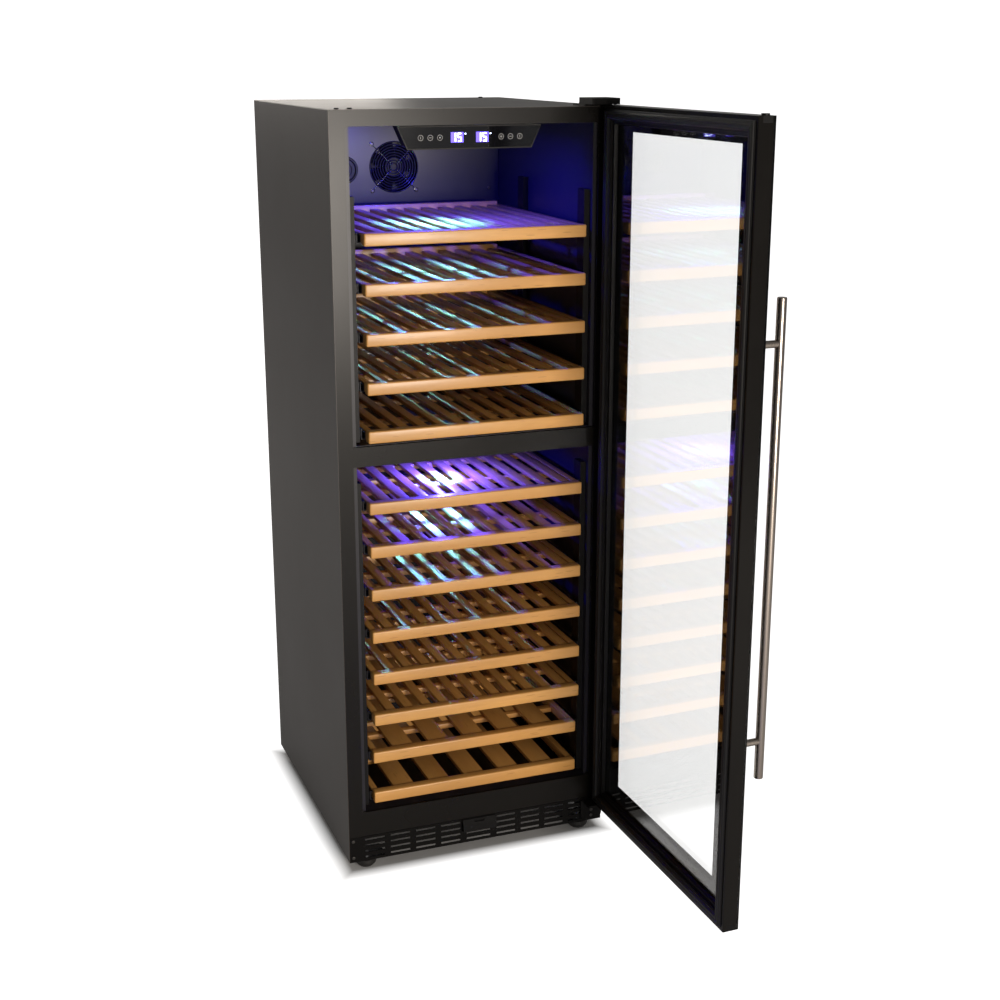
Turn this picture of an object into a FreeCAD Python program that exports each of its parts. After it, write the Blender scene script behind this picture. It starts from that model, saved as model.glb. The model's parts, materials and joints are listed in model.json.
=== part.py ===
"""Dual-zone wine cooler with an open glass door, thirteen sliding shelves and its cooling machinery.

Millimetres, +Z up. The front faces -Y. The origin is on the floor, under the middle of the cabinet.
"""

import FreeCAD, Part
import os
import re

import Sketcher

# ---------------------------------------------------------------- driving sizes
SIZES = {
    # cabinet
    "width": 595,
    "depth": 650,
    "body_height": 1588,
    "foot_clearance": 24,
    "steel_sheet": 1,
    "liner_sheet": 2,
    "jamb_side": 32,
    "jamb_top": 32,
    "jamb_depth": 8,
    "jamb_corner": 8,
    "kick_height": 58,
    "kick_sheet": 2,
    "sill_height": 115,
    "liner_step": 9,
    "liner_flange": 5,
    "back_wall": 60,
    "divider_base": 884,
    "divider_thick": 41,
    "machine_depth": 235,
    "machine_height": 175,
    "step_wall": 35,
    # air ducts and fans
    "duct_depth": 36,
    "duct_sheet": 2,
    "fan_side": 119,
    "fan_thick": 25,
    "fan_bore": 57,
    "fan_screw_pitch": 105,
    "fan_drop": 118,
    "guard_thick": 4,
    "blade_reach": 54,
    "hub_radius": 20,
    "filter_radius": 31,
    "filter_offset": 117,
    # shelves
    "shelf_clear": 21,
    "trim_height": 25.4,
    "trim_depth": 22,
    "slat_thick": 9,
    "slat_drop": 1.5,
    "slat_width": 20,
    "wide_slat": 46,
    "batten_width": 20,
    "batten_height": 10,
    "side_rail": 13.5,
    "back_rail_rise": 8,
    "shelf_tail": 160,
    "short_shelf_tail": 280,
    "upper_start": 8.6,
    "upper_headroom": 137,
    "lower_start": 13.4,
    "lower_headroom": 21.8,
    "upper_stand": 13,
    "lower_stand": 8,
    "bottom_setback": 7.5,
    # slides
    "runner_thick": 4,
    "runner_height": 16,
    "runner_rise": 5,
    "slide_play": 0.6,
    "channel_sheet": 1.5,
    "channel_tail": 200,
    "channel_start": 22,
    "upright_thick": 12,
    "upright_width": 34,
    "front_upright": 22,
    "rear_upright_tail": 289,
    # door
    "door_angle": 91,
    "door_rise": 3,
    "door_base": 54,
    "door_gap": 6,
    "door_rim": 30.7,
    "pane_thick": 4,
    "rim_width": 12,
    "hinge_inset": 9.5,
    "hinge_depth": 19,
    "pin_radius": 3,
    "pin_play": 0.08,
    "inner_frame_width": 38,
    "pane_recess": 14,
    "gasket_inset": 7.5,
    "gasket_width": 20,
    "gasket_play": 0.4,
    "spacer_width": 10,
    # handle
    "bar_radius": 9,
    "bar_length": 927.5,
    "bar_base": 350.2,
    "bar_reach": 52.5,
    "bar_inset": 38.7,
    "post_radius": 7,
    "post_base": 427,
    "post_pitch": 768,
    # control panel
    "panel_top": 299,
    "panel_bottom": 258,
    "panel_height": 40.5,
    "panel_setback": 33,
    "panel_drop": 5.5,
    "panel_rim": 2.5,
    # hinges, feet
    "bracket_thick": 4,
    "hinge_play": 1,
    "foot_radius": 23,
    "foot_inset": 44.5,
    "foot_front": 30,
    "foot_back": 40,
    "stud_radius": 5,
    "stud_play": 0.1,
    "screw_radius": 2,
    "screw_play": 0.2,
}

# ---------------------------------------------------------------- places worked out from the sizes
PLACES = {
    "half": "width / 2",
    "inside": "width / 2 - steel_sheet",
    "front": "0 - depth / 2",
    "back": "depth / 2",
    "base": "foot_clearance",
    "top": "foot_clearance + body_height",
    "opening": "width / 2 - jamb_side",
    "opening_top": "top - jamb_top",
    "opening_low": "base + sill_height",
    "jamb_back": "front + jamb_depth",
    "cavity": "opening - liner_step",
    "cavity_back": "back - back_wall",
    "ceiling": "opening_top + liner_sheet",
    "floor": "opening_low",
    "divider_low": "base + divider_base",
    "divider_high": "divider_low + divider_thick",
    "machine_front": "back - machine_depth",
    "machine_top": "base + machine_height",
    "step_front": "machine_front - step_wall",
    "step_top": "machine_top + step_wall",
    "pan": "base + kick_height + 3",
    "duct_front": "cavity_back - duct_depth",
    "upper_fan": "opening_top - fan_drop",
    "lower_fan": "divider_low - fan_drop",
    "guard_front": "duct_front - duct_sheet - guard_thick",
    "shelf_half": "cavity - shelf_clear",
    "slat_pitch": "2 * (shelf_half - side_rail) / 11.1",
    "shelf_back": "depth - shelf_tail",
    "short_shelf_back": "depth - short_shelf_tail",
    "upper_first": "divider_base + divider_thick + upper_start",
    "upper_pitch": "(opening_top - divider_high - upper_headroom) / 5",
    "lower_first": "sill_height + lower_start",
    "lower_pitch": "(divider_low - opening_low - lower_headroom) / 8",
    "channel_length": "depth - channel_tail",
    "rear_upright": "depth - rear_upright_tail",
    "channel_web": "shelf_half + runner_thick + slide_play + channel_sheet",
    "door_x": "half - hinge_inset",
    "door_y": "front - door_gap - hinge_depth",
    "door_low": "base + door_base",
    "door_high": "top + door_rise",
    "door_edge": "hinge_inset",
    "door_free": "hinge_inset - width",
    "door_in": "hinge_depth",
    "pane_back": "hinge_depth - door_rim",
    "door_out": "pane_back - pane_thick",
    "bar_x": "door_free + bar_inset",
    "bar_y": "door_out - bar_reach",
    "foot_x": "half - foot_inset",
    "foot_near": "front + foot_front",
    "foot_far": "back - foot_back",
    "panel_y": "front + panel_setback",
    "panel_z": "opening_top - panel_drop",
}

doc = FreeCAD.newDocument("WineCooler")
sheet = doc.addObject("Spreadsheet::Sheet", "Sizes")
for row, (alias, number) in enumerate(SIZES.items(), start=1):
    sheet.set(f"A{row}", alias)
    sheet.set(f"B{row}", str(number))
    sheet.setAlias(f"B{row}", alias)
doc.recompute()

NODES = []


def formula(text):
    """An expression on the sheet: places are written out, sizes get the sheet's name."""
    def word(match):
        name = match.group(0)
        if name in PLACES:
            return f"({formula(PLACES[name])})"
        return f"Sizes.{name}" if name in SIZES else name

    return re.sub(r"[a-z][a-z_]*", word, str(text))


def value(text):
    return float(sheet.evalExpression(formula(text)))


def minus(text):
    return f"0 - ({text})"


def node(name, obj):
    """Marks an object as a sub-part: its label names its file."""
    obj.Label = name
    NODES.append(obj)
    return obj


# ---------------------------------------------------------------- Part workbench helpers
def box(x, y, z, name="block"):
    solid = doc.addObject("Part::Box", name)
    for axis, size, (low, high) in zip("xyz", ("Length", "Width", "Height"), (x, y, z)):
        solid.setExpression(size, formula(f"({high}) - ({low})"))
        solid.setExpression(f"Placement.Base.{axis}", formula(low))
    return solid


TURNS = {
    "x": FreeCAD.Rotation(FreeCAD.Vector(0, 1, 0), 90),
    "y": FreeCAD.Rotation(FreeCAD.Vector(1, 0, 0), -90),
    "z": FreeCAD.Rotation(),
}


def rod(radius, start, length, axis="z", name="rod"):
    """A cylinder from start along +axis."""
    solid = doc.addObject("Part::Cylinder", name)
    solid.Placement = FreeCAD.Placement(FreeCAD.Vector(), TURNS[axis])
    solid.setExpression("Radius", formula(radius))
    solid.setExpression("Height", formula(length))
    for letter, place in zip("xyz", start):
        solid.setExpression(f"Placement.Base.{letter}", formula(place))
    return solid


def fuse(parts, name="union"):
    solid = doc.addObject("Part::MultiFuse", name)
    solid.Shapes = parts
    return solid


def group(parts, name="group"):
    several = doc.addObject("Part::Compound", name)
    several.Links = parts
    return several


def cut(base, tools, name="cut"):
    solid = doc.addObject("Part::Cut", name)
    solid.Base = base
    solid.Tool = tools[0] if len(tools) == 1 else fuse(tools, "tools")
    return solid


def both_sides(low, high):
    """The same stretch on the right and on the left of the middle plane."""
    return [(low, high), (minus(high), minus(low))]


# ---------------------------------------------------------------- PartDesign helpers
def body(name):
    return doc.addObject("PartDesign::Body", name)


def outline(sketch, points):
    """A closed polygon whose corners are held by formulas."""
    first = sketch.GeometryCount
    spots = [FreeCAD.Vector(value(x), value(y), 0) for x, y in points]
    count = len(points)
    for i in range(count):
        sketch.addGeometry(Part.LineSegment(spots[i], spots[(i + 1) % count]), False)
    for i in range(count):
        following = first + (i + 1) % count
        sketch.addConstraint(Sketcher.Constraint("Coincident", first + i, 2, following, 1))
    for i, (spot, point) in enumerate(zip(spots, points)):
        for kind, number, text in zip(("DistanceX", "DistanceY"), (spot.x, spot.y), point):
            held = sketch.addConstraint(Sketcher.Constraint(kind, -1, 1, first + i, 1, number))
            sketch.setExpression(f"Constraints[{held}]", formula(text))


def rectangle(sketch, x, y):
    outline(sketch, [(x[0], y[0]), (x[1], y[0]), (x[1], y[1]), (x[0], y[1])])


def circle(sketch, x, y, radius):
    spot = FreeCAD.Vector(value(x), value(y), 0)
    index = sketch.addGeometry(Part.Circle(spot, FreeCAD.Vector(0, 0, 1), value(radius)), False)
    for kind, number, text in (("DistanceX", spot.x, x), ("DistanceY", spot.y, y)):
        if str(text) == "0":
            axis = -2 if kind == "DistanceX" else -1
            sketch.addConstraint(Sketcher.Constraint("PointOnObject", index, 3, axis))
            continue
        held = sketch.addConstraint(Sketcher.Constraint(kind, -1, 1, index, 3, number))
        sketch.setExpression(f"Constraints[{held}]", formula(text))
    held = sketch.addConstraint(Sketcher.Constraint("Radius", index, value(radius)))
    sketch.setExpression(f"Constraints[{held}]", formula(radius))


def origin_feature(owner, role):
    return next(f for f in owner.Origin.OriginFeatures if f.Role == role)


def new_sketch(owner, plane, level, draw):
    sketch = owner.newObject("Sketcher::SketchObject", "Sketch")
    sketch.AttachmentSupport = (origin_feature(owner, plane), [""])
    sketch.MapMode = "FlatFace"
    sign = "0 - " if plane == "XZ_Plane" else ""
    sketch.setExpression("AttachmentOffset.Base.z", formula(f"{sign}({level})"))
    draw(sketch)
    return sketch


def pad(owner, plane, span, draw):
    """Material from span[0] to span[1] along the plane's world axis."""
    feature = owner.newObject("PartDesign::Pad", "Pad")
    feature.Profile = new_sketch(owner, plane, span[0], draw)
    feature.Reversed = plane == "XZ_Plane"
    feature.setExpression("Length", formula(f"({span[1]}) - ({span[0]})"))
    return feature


def pocket(owner, plane, span, draw):
    """A cut from span[0] to span[1] along the plane's world axis; it has to remove something."""
    doc.recompute()
    before = owner.Shape.Volume
    feature = owner.newObject("PartDesign::Pocket", "Pocket")
    feature.Profile = new_sketch(owner, plane, span[0], draw)
    feature.Reversed = plane != "XZ_Plane"
    feature.setExpression("Length", formula(f"({span[1]}) - ({span[0]})"))
    doc.recompute()
    if owner.Shape.Volume > before - 0.01:
        raise RuntimeError(f"the pocket in {owner.Label} cuts nothing")
    return feature


def turned(owner, draw):
    """A solid of revolution about the body's own Z axis, drawn as (radius, height)."""
    feature = owner.newObject("PartDesign::Revolution", "Revolution")
    feature.Profile = new_sketch(owner, "XZ_Plane", "0", draw)
    feature.ReferenceAxis = (origin_feature(owner, "Z_Axis"), [""])
    feature.Angle = 360
    return feature


def row_of(owner, feature, role, pitch, count):
    """Repeats a feature along one of the body's axes."""
    pattern = owner.newObject("PartDesign::LinearPattern", "Row")
    pattern.Originals = [feature]
    pattern.Direction = (origin_feature(owner, role), [""])
    pattern.Mode = "Spacing"
    pattern.setExpression("Offset", formula(pitch))
    pattern.Occurrences = count
    owner.Tip = pattern
    return pattern


def edges_where(owner, direction, test):
    """Names of the straight edges along direction whose middle passes the test."""
    doc.recompute()
    names = []
    for index, edge in enumerate(owner.Shape.Edges, start=1):
        if len(edge.Vertexes) != 2:
            continue
        run = edge.Vertexes[1].Point - edge.Vertexes[0].Point
        if run.Length > 0 and abs(run.normalize().dot(direction)) > 0.999:
            middle = (edge.Vertexes[0].Point + edge.Vertexes[1].Point) * 0.5
            if test(middle):
                names.append(f"Edge{index}")
    return names


def level_edges(owner, test):
    return edges_where(owner, X_AXIS, test) + edges_where(owner, Y_AXIS, test)


def soften(owner, kind, size, names):
    """A Fillet or Chamfer on the body's tip."""
    tip = owner.Tip
    feature = owner.newObject(f"PartDesign::{kind}", kind)
    feature.Base = (tip, names)
    feature.setExpression("Radius" if kind == "Fillet" else "Size", formula(size))
    return feature


def place(obj, x, y, z):
    for letter, text in zip("xyz", (x, y, z)):
        obj.setExpression(f"Placement.Base.{letter}", formula(text))


X_AXIS = FreeCAD.Vector(1, 0, 0)
Y_AXIS = FreeCAD.Vector(0, 1, 0)
Z_AXIS = FreeCAD.Vector(0, 0, 1)
WHOLE_INSIDE = (minus("inside"), "inside")


# ---------------------------------------------------------------- cabinet structure
def outer_shell():
    """One bent sheet: both sides and the top."""
    shell = body("outer_shell")
    low = "half - steel_sheet"
    points = [
        (minus("half"), "base"), (minus("half"), "top"), ("half", "top"), ("half", "base"),
        (low, "base"), (low, "top - steel_sheet"), (minus(low), "top - steel_sheet"), (minus(low), "base"),
    ]
    pad(shell, "XZ_Plane", ("front", "back"), lambda s: outline(s, points))
    node("outer_shell", shell)


def back_panel():
    """Rear sheet with louvres over the machine room and a cut-out for the mains inlet."""
    panel = body("back_panel")
    pad(panel, "XZ_Plane", ("back - steel_sheet", "back"),
        lambda s: rectangle(s, WHOLE_INSIDE, ("base", "top - steel_sheet")))

    def louvres(sketch):
        for column in range(4):
            left = f"0 - inside + 40 + {column} * 105"
            rectangle(sketch, (left, f"{left} + 85"), ("base + 30", "base + 36"))

    slot = pocket(panel, "XZ_Plane", ("back - steel_sheet - 1", "back + 1"), louvres)
    row_of(panel, slot, "Z_Axis", "18", 7)
    pocket(panel, "XZ_Plane", ("back - steel_sheet - 1", "back + 1"),
           lambda s: rectangle(s, ("half - 75.5", "half - 44.5"), ("base + 55.5", "base + 80.5")))
    node("back_panel", panel)


def base_frame():
    """Two side rails, front corner plates, the machine-room floor and four threaded bosses."""
    level = ("base", "base + 1.5")
    parts = [box(WHOLE_INSIDE, ("machine_front", "back - steel_sheet"), level)]
    for side in both_sides("inside - 26", "inside"):
        parts.append(box(side, ("front + kick_sheet", "machine_front"), level))
    for wall in both_sides("inside - 1.5", "inside"):
        parts.append(box(wall, ("front + kick_sheet", "back - steel_sheet"), ("base", "base + 30")))
    for side in both_sides("inside - 84", "inside"):
        parts.append(box(side, ("front + kick_sheet", "front + 62"), level))
    bosses = []
    holes = []
    for x in ("foot_x", minus("foot_x")):
        for y in ("foot_near", "foot_far"):
            bosses.append(rod("stud_radius + 5", (x, y, "base"), "16"))
            holes.append(rod("stud_radius + stud_play", (x, y, "base - 1"), "18"))
    node("base_frame", cut(fuse(parts + bosses), holes, "base_frame"))


def bottom_panel():
    """Stepped sheet under the insulation: a pan over the front air duct, then the machine-room roof."""
    panel = body("bottom_panel")
    rise = "machine_front - steel_sheet"
    points = [
        ("jamb_back", "pan - steel_sheet"), ("machine_front", "pan - steel_sheet"),
        ("machine_front", "machine_top - steel_sheet"), ("back - steel_sheet", "machine_top - steel_sheet"),
        ("back - steel_sheet", "machine_top"), (rise, "machine_top"), (rise, "pan"), ("jamb_back", "pan"),
    ]
    pad(panel, "YZ_Plane", WHOLE_INSIDE, lambda s: outline(s, points))
    node("bottom_panel", panel)


def front_frame():
    """The jamb round the opening, with its deep sill."""
    frame = body("front_frame")

    def ring(sketch):
        rectangle(sketch, WHOLE_INSIDE, ("base + kick_height + 1", "top - steel_sheet"))
        rectangle(sketch, (minus("opening"), "opening"), ("opening_low", "opening_top"))

    pad(frame, "XZ_Plane", ("front", "jamb_back"), ring)
    limit = value("opening") + 1
    corners = edges_where(frame, Y_AXIS, lambda p: abs(p.x) < limit)
    soften(frame, "Fillet", "jamb_corner", corners)
    node("front_frame", frame)


def insulation_foam():
    """Foam between the shell and the liners, stepped over the machine room."""
    outer = box(WHOLE_INSIDE, ("jamb_back", "back - steel_sheet"), ("pan", "top - steel_sheet"))
    side = (minus("cavity + liner_sheet"), "cavity + liner_sheet")
    flange = "opening + liner_flange"
    room = [
        box((minus(flange), flange), ("jamb_back - 1", "jamb_back + liner_sheet"),
            ("opening_low - liner_flange", "opening_top + liner_flange")),
        box(side, ("jamb_back - 1", "cavity_back + liner_sheet"),
            ("step_top - liner_sheet", "ceiling + liner_sheet")),
        box(side, ("jamb_back - 1", "step_front + liner_sheet"), ("floor - liner_sheet", "step_top")),
        box(WHOLE_INSIDE, ("machine_front - steel_sheet", "back"), ("base", "machine_top")),
    ]
    node("insulation_foam", cut(outer, room, "insulation_foam"))


def upper_liner():
    """The upper zone's box with a flange behind the jamb."""
    wall = "cavity + liner_sheet"
    outer = box((minus(wall), wall), ("jamb_back", "cavity_back + liner_sheet"),
                ("divider_high - liner_sheet", "ceiling + liner_sheet"))
    reach = "opening + liner_flange"
    flange = box((minus(reach), reach), ("jamb_back", "jamb_back + liner_sheet"),
                 ("divider_high", "opening_top + liner_flange"))
    inner = box((minus("cavity"), "cavity"), ("jamb_back - 1", "cavity_back"), ("divider_high", "ceiling"))
    node("upper_liner", cut(fuse([outer, flange]), [inner], "upper_liner"))


def lower_liner():
    """The lower zone's box, stepped up at the back over the machine room, with a flange behind the jamb."""
    liner = body("lower_liner")

    def profile(grow, open_front):
        low = f"floor - {grow}"
        step = f"step_top - {grow}"
        return [
            (open_front, low), (f"step_front + {grow}", low), (f"step_front + {grow}", step),
            (f"cavity_back + {grow}", step), (f"cavity_back + {grow}", f"divider_low + {grow}"),
            (open_front, f"divider_low + {grow}"),
        ]

    wall = "cavity + liner_sheet"
    pad(liner, "YZ_Plane", (minus(wall), wall),
        lambda s: outline(s, profile("liner_sheet", "jamb_back")))
    reach = "opening + liner_flange"
    pad(liner, "XZ_Plane", ("jamb_back", "jamb_back + liner_sheet"),
        lambda s: rectangle(s, (minus(reach), reach), ("opening_low - liner_flange", "divider_low")))
    pocket(liner, "YZ_Plane", (minus("cavity"), "cavity"),
           lambda s: outline(s, profile("0", "jamb_back - 1")))
    node("lower_liner", liner)


def zone_divider():
    """Insulated slab between the two zones with its front cap."""
    divider = body("zone_divider")
    wall = "cavity + liner_sheet"
    pad(divider, "XZ_Plane", ("jamb_back", "cavity_back + liner_sheet"),
        lambda s: rectangle(s, (minus(wall), wall),
                            ("divider_low + liner_sheet", "divider_high - liner_sheet")))
    pad(divider, "XZ_Plane", ("front + 1", "jamb_back"),
        lambda s: rectangle(s, (minus("opening"), "opening"), ("divider_low", "divider_high")))
    node("zone_divider", divider)


KICK_SCREWS = [(minus("half - 9"), "base + 11"), (minus("half - 9"), "base + 50")]


def kick_grille():
    """Ventilated plinth with nine columns of four slots, screwed on at the left and by the hinge bracket."""
    kick = body("kick_grille")
    pad(kick, "XZ_Plane", ("front", "front + kick_sheet"),
        lambda s: rectangle(s, WHOLE_INSIDE, ("base", "base + kick_height")))
    pad(kick, "XZ_Plane", ("front + kick_sheet", "front + kick_sheet + 10"),
        lambda s: rectangle(s, WHOLE_INSIDE, ("base + kick_height - 1.5", "base + kick_height")))

    def slots(sketch):
        level = ("base + 6", "base + 11")
        rectangle(sketch, ("0 - 28", "28"), level)
        for column in range(4):
            for side in both_sides(f"43 + {column} * 58", f"88 + {column} * 58"):
                rectangle(sketch, side, level)

    through = ("front - 1", "front + kick_sheet + 1")
    slot = pocket(kick, "XZ_Plane", through, slots)
    row_of(kick, slot, "Z_Axis", "13.8", 4)

    def screw_holes(sketch):
        for x, z in KICK_SCREWS:
            circle(sketch, x, z, "screw_radius + screw_play")

    pocket(kick, "XZ_Plane", through, screw_holes)
    node("kick_grille", kick)


def lock_keeper():
    """Sloped keeper for the door lock at the middle of the plinth."""
    keeper = body("lock_keeper")
    points = [
        ("front", "base + 30"), ("front - 11", "base + 30"), ("front - 11", "base + 46"),
        ("front - 3.5", "base + 56.5"), ("front", "base + 56.5"),
    ]
    pad(keeper, "YZ_Plane", ("0 - 39", "39"), lambda s: outline(s, points))
    pocket(keeper, "XY_Plane", ("base + 44", "base + 60"),
           lambda s: rectangle(s, ("0 - 12", "12"), ("front - 8", "front - 4.5")))
    node("lock_keeper", keeper)


# ---------------------------------------------------------------- hinges
BRACKET_SCREWS = ("half - 52", "half - 14")


def top_hinge_bracket():
    """Plate on the cabinet top and a block that reaches over the door."""
    bracket = body("top_hinge_bracket")
    pad(bracket, "XY_Plane", ("top", "top + bracket_thick"),
        lambda s: rectangle(s, ("half - 63", "half - 2.5"), ("front + 3", "front + 62")))
    pad(bracket, "XY_Plane", ("top + bracket_thick", "top + 16.5"),
        lambda s: rectangle(s, ("half - 63", "half - 2.5"), ("door_y - 11", "front + 34")))
    rounded = edges_where(bracket, Z_AXIS, lambda p: p.z > value("top + bracket_thick"))
    soften(bracket, "Fillet", "2.5", rounded)
    pocket(bracket, "XY_Plane", ("top - 1", "top + 17"),
           lambda s: circle(s, "door_x", "door_y", "pin_radius"))

    def screw_holes(sketch):
        for x in BRACKET_SCREWS:
            circle(sketch, x, "front + 50", "screw_radius + screw_play")

    pocket(bracket, "XY_Plane", ("top - 1", "top + bracket_thick + 1"), screw_holes)
    node("top_hinge_bracket", bracket)


def bottom_hinge_bracket():
    """Bent plate on the plinth whose shelf carries the door."""
    bracket = body("bottom_hinge_bracket")
    shelf_top = "door_low - hinge_play"
    pad(bracket, "XZ_Plane", ("front - bracket_thick", "front"),
        lambda s: rectangle(s, ("half - 51", "half"), ("base + 4", shelf_top)))
    pad(bracket, "XY_Plane", (f"{shelf_top} - 5", shelf_top),
        lambda s: rectangle(s, ("half - 45", "half + 5"), ("door_y - 11", "front - bracket_thick")))
    limit = value("base") + 5
    low = edges_where(bracket, Y_AXIS, lambda p: p.z < limit)
    soften(bracket, "Fillet", "14", low)
    pocket(bracket, "XY_Plane", (f"{shelf_top} - 6", f"{shelf_top} + 1"),
           lambda s: circle(s, "door_x", "door_y", "pin_radius"))

    def screw_holes(sketch):
        for z in ("base + 14", "base + 28"):
            circle(sketch, "half - 26", z, "screw_radius + screw_play")

    pocket(bracket, "XZ_Plane", ("front - bracket_thick - 1", "front + 1"), screw_holes)
    node("bottom_hinge_bracket", bracket)


def hinge_pins():
    upper = rod("pin_radius", ("door_x", "door_y", "door_high - 11"), "top + 16.5 - (door_high - 11)")
    low = "door_low - hinge_play - 5"
    lower = rod("pin_radius", ("door_x", "door_y", low), "16")
    node("hinge_pins", group([upper, lower], "hinge_pins"))


# ---------------------------------------------------------------- shelf slides
ZONES = [
    {"name": "upper", "count": 5, "first": "upper_first", "pitch": "upper_pitch"},
    {"name": "lower", "count": 8, "first": "lower_first", "pitch": "lower_pitch"},
]


def shelf_levels():
    """(zone, number, height of its trim's lower edge) for every shelf, counted from below."""
    for zone in ZONES:
        for number in range(zone["count"]):
            yield zone["name"], number + 1, f"base + {zone['first']} + {number} * {zone['pitch']}"


def shelf_kind(zone, number):
    """Which pattern a shelf has: short and wide-slatted, full and wide-slatted, or narrow-slatted."""
    if zone == "lower" and number == 1:
        return "short"
    if zone == "lower" and number == 2:
        return "wide"
    return zone


def upright_strips():
    """Strips on the side walls that carry the slide channels, two a side in each zone."""
    zones = [("floor + 6", "divider_low - 40"), ("divider_high + 6", "ceiling - 136")]
    strips = []
    for low, high in zones:
        for start in ("front_upright", "rear_upright"):
            bottom = low
            if start == "rear_upright" and low.startswith("floor"):
                bottom = "step_top + 6"
            run = (f"front + {start}", f"front + {start} + upright_width")
            for side in both_sides("cavity - upright_thick", "cavity"):
                strips.append(box(side, run, (bottom, high)))
    node("upright_strips", group(strips, "upright_strips"))


def slide_channels():
    """One open channel a side for every shelf, with tabs that reach to the uprights."""
    channels = []
    for zone, number, level in shelf_levels():
        length = "channel_length"
        tabs = ["front_upright", "rear_upright"]
        if shelf_kind(zone, number) == "short":
            length = "short_shelf_back - channel_start - 18"
            tabs = ["front_upright", "rear_upright - 45"]
        run = ("front + channel_start", f"front + channel_start + {length}")
        low = f"{level} + runner_rise - slide_play"
        high = f"{level} + runner_rise + runner_height + slide_play"
        lip = "shelf_half + 1"
        for mirror in (False, True):
            def side(near, far):
                return (minus(far), minus(near)) if mirror else (near, far)

            pieces = [
                box(side("channel_web - channel_sheet", "channel_web"), run, (low, high)),
                box(side(lip, "channel_web"), run, (f"{low} - channel_sheet", low)),
                box(side(lip, "channel_web"), run, (high, f"{high} + channel_sheet")),
            ]
            for tab in tabs:
                reach = "cavity - upright_thick" if tab.endswith("upright") else "cavity"
                pieces.append(box(side("channel_web", reach), (f"front + {tab} + 5", f"front + {tab} + 29"),
                                  (low, high)))
            channels.append(fuse(pieces, "channel"))
    node("slide_channels", group(channels, "slide_channels"))


# ---------------------------------------------------------------- shelves
def trim_bar():
    """Front trim with its outer edges rounded."""
    bar = box((minus("shelf_half"), "shelf_half"), ("0", "trim_depth"), ("0", "trim_height"))
    doc.recompute()
    rounded = doc.addObject("Part::Fillet", "trim")
    rounded.Base = bar
    picks = []
    for index, edge in enumerate(bar.Shape.Edges, start=1):
        middle = edge.CenterOfMass
        if abs(middle.y) < 0.01:
            picks.append((index, 3.0, 3.0))
    rounded.Edges = picks
    return rounded


def shelf_pattern(back, wide, battens):
    """Pieces shared by the shelves of one kind, drawn from the trim's lower front edge."""
    inner = "shelf_half - side_rail"
    slat_top = "trim_height - slat_drop"
    slat_low = f"{slat_top} - slat_thick"
    batten_low = f"{slat_low} - batten_height"
    rail_front = f"{back} - batten_width"
    pieces = [trim_bar()]
    for side in both_sides(inner, "shelf_half"):
        pieces.append(box(side, ("trim_depth", back), (batten_low, slat_top)))
    across = (minus(inner), inner)
    pieces.append(box(across, (rail_front, back), (batten_low, f"{slat_top} + back_rail_rise")))
    for middle in battens:
        batten = (f"{middle} - batten_width / 2", f"{middle} + batten_width / 2")
        pieces.append(box(across, batten, (batten_low, slat_low)))
    run = ("trim_depth", rail_front)
    if wide:
        gap = f"(2 * shelf_half - 2 * side_rail - 5 * wide_slat) / 6"
        for slat in range(5):
            low = f"0 - ({inner}) + {gap} + {slat} * (wide_slat + {gap})"
            pieces.append(box((low, f"{low} + wide_slat"), run, (slat_low, slat_top)))
    else:
        for slat in range(11):
            low = f"0 - ({inner}) + slat_pitch / 2 + {slat} * slat_pitch"
            pieces.append(box((low, f"{low} + slat_width"), run, (slat_low, slat_top)))
    runner = ("runner_rise", "runner_rise + runner_height")
    for side in both_sides("shelf_half", "shelf_half + runner_thick"):
        pieces.append(box(side, ("trim_depth + 3", f"{back} - 20"), runner))
    return pieces


def shelves():
    """Thirteen shelves; those of one kind share their pieces and differ in place."""
    full = "shelf_back"
    patterns = {
        "upper": ("0 - upper_stand", shelf_pattern(f"{full} + upper_stand", False, ["140", "317"])),
        "lower": ("0 - lower_stand", shelf_pattern(f"{full} + lower_stand", False, ["140", "317"])),
        "wide": ("bottom_setback", shelf_pattern(f"{full} - bottom_setback", True, ["120", "300"])),
        "short": ("bottom_setback", shelf_pattern("short_shelf_back - bottom_setback", True, ["190"])),
    }
    for zone, number, level in shelf_levels():
        stand, pieces = patterns[shelf_kind(zone, number)]
        name = f"shelf_{zone}_{number}"
        shelf = group(pieces, name)
        place(shelf, "0", f"front + {stand}", level)
        node(name, shelf)


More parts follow.
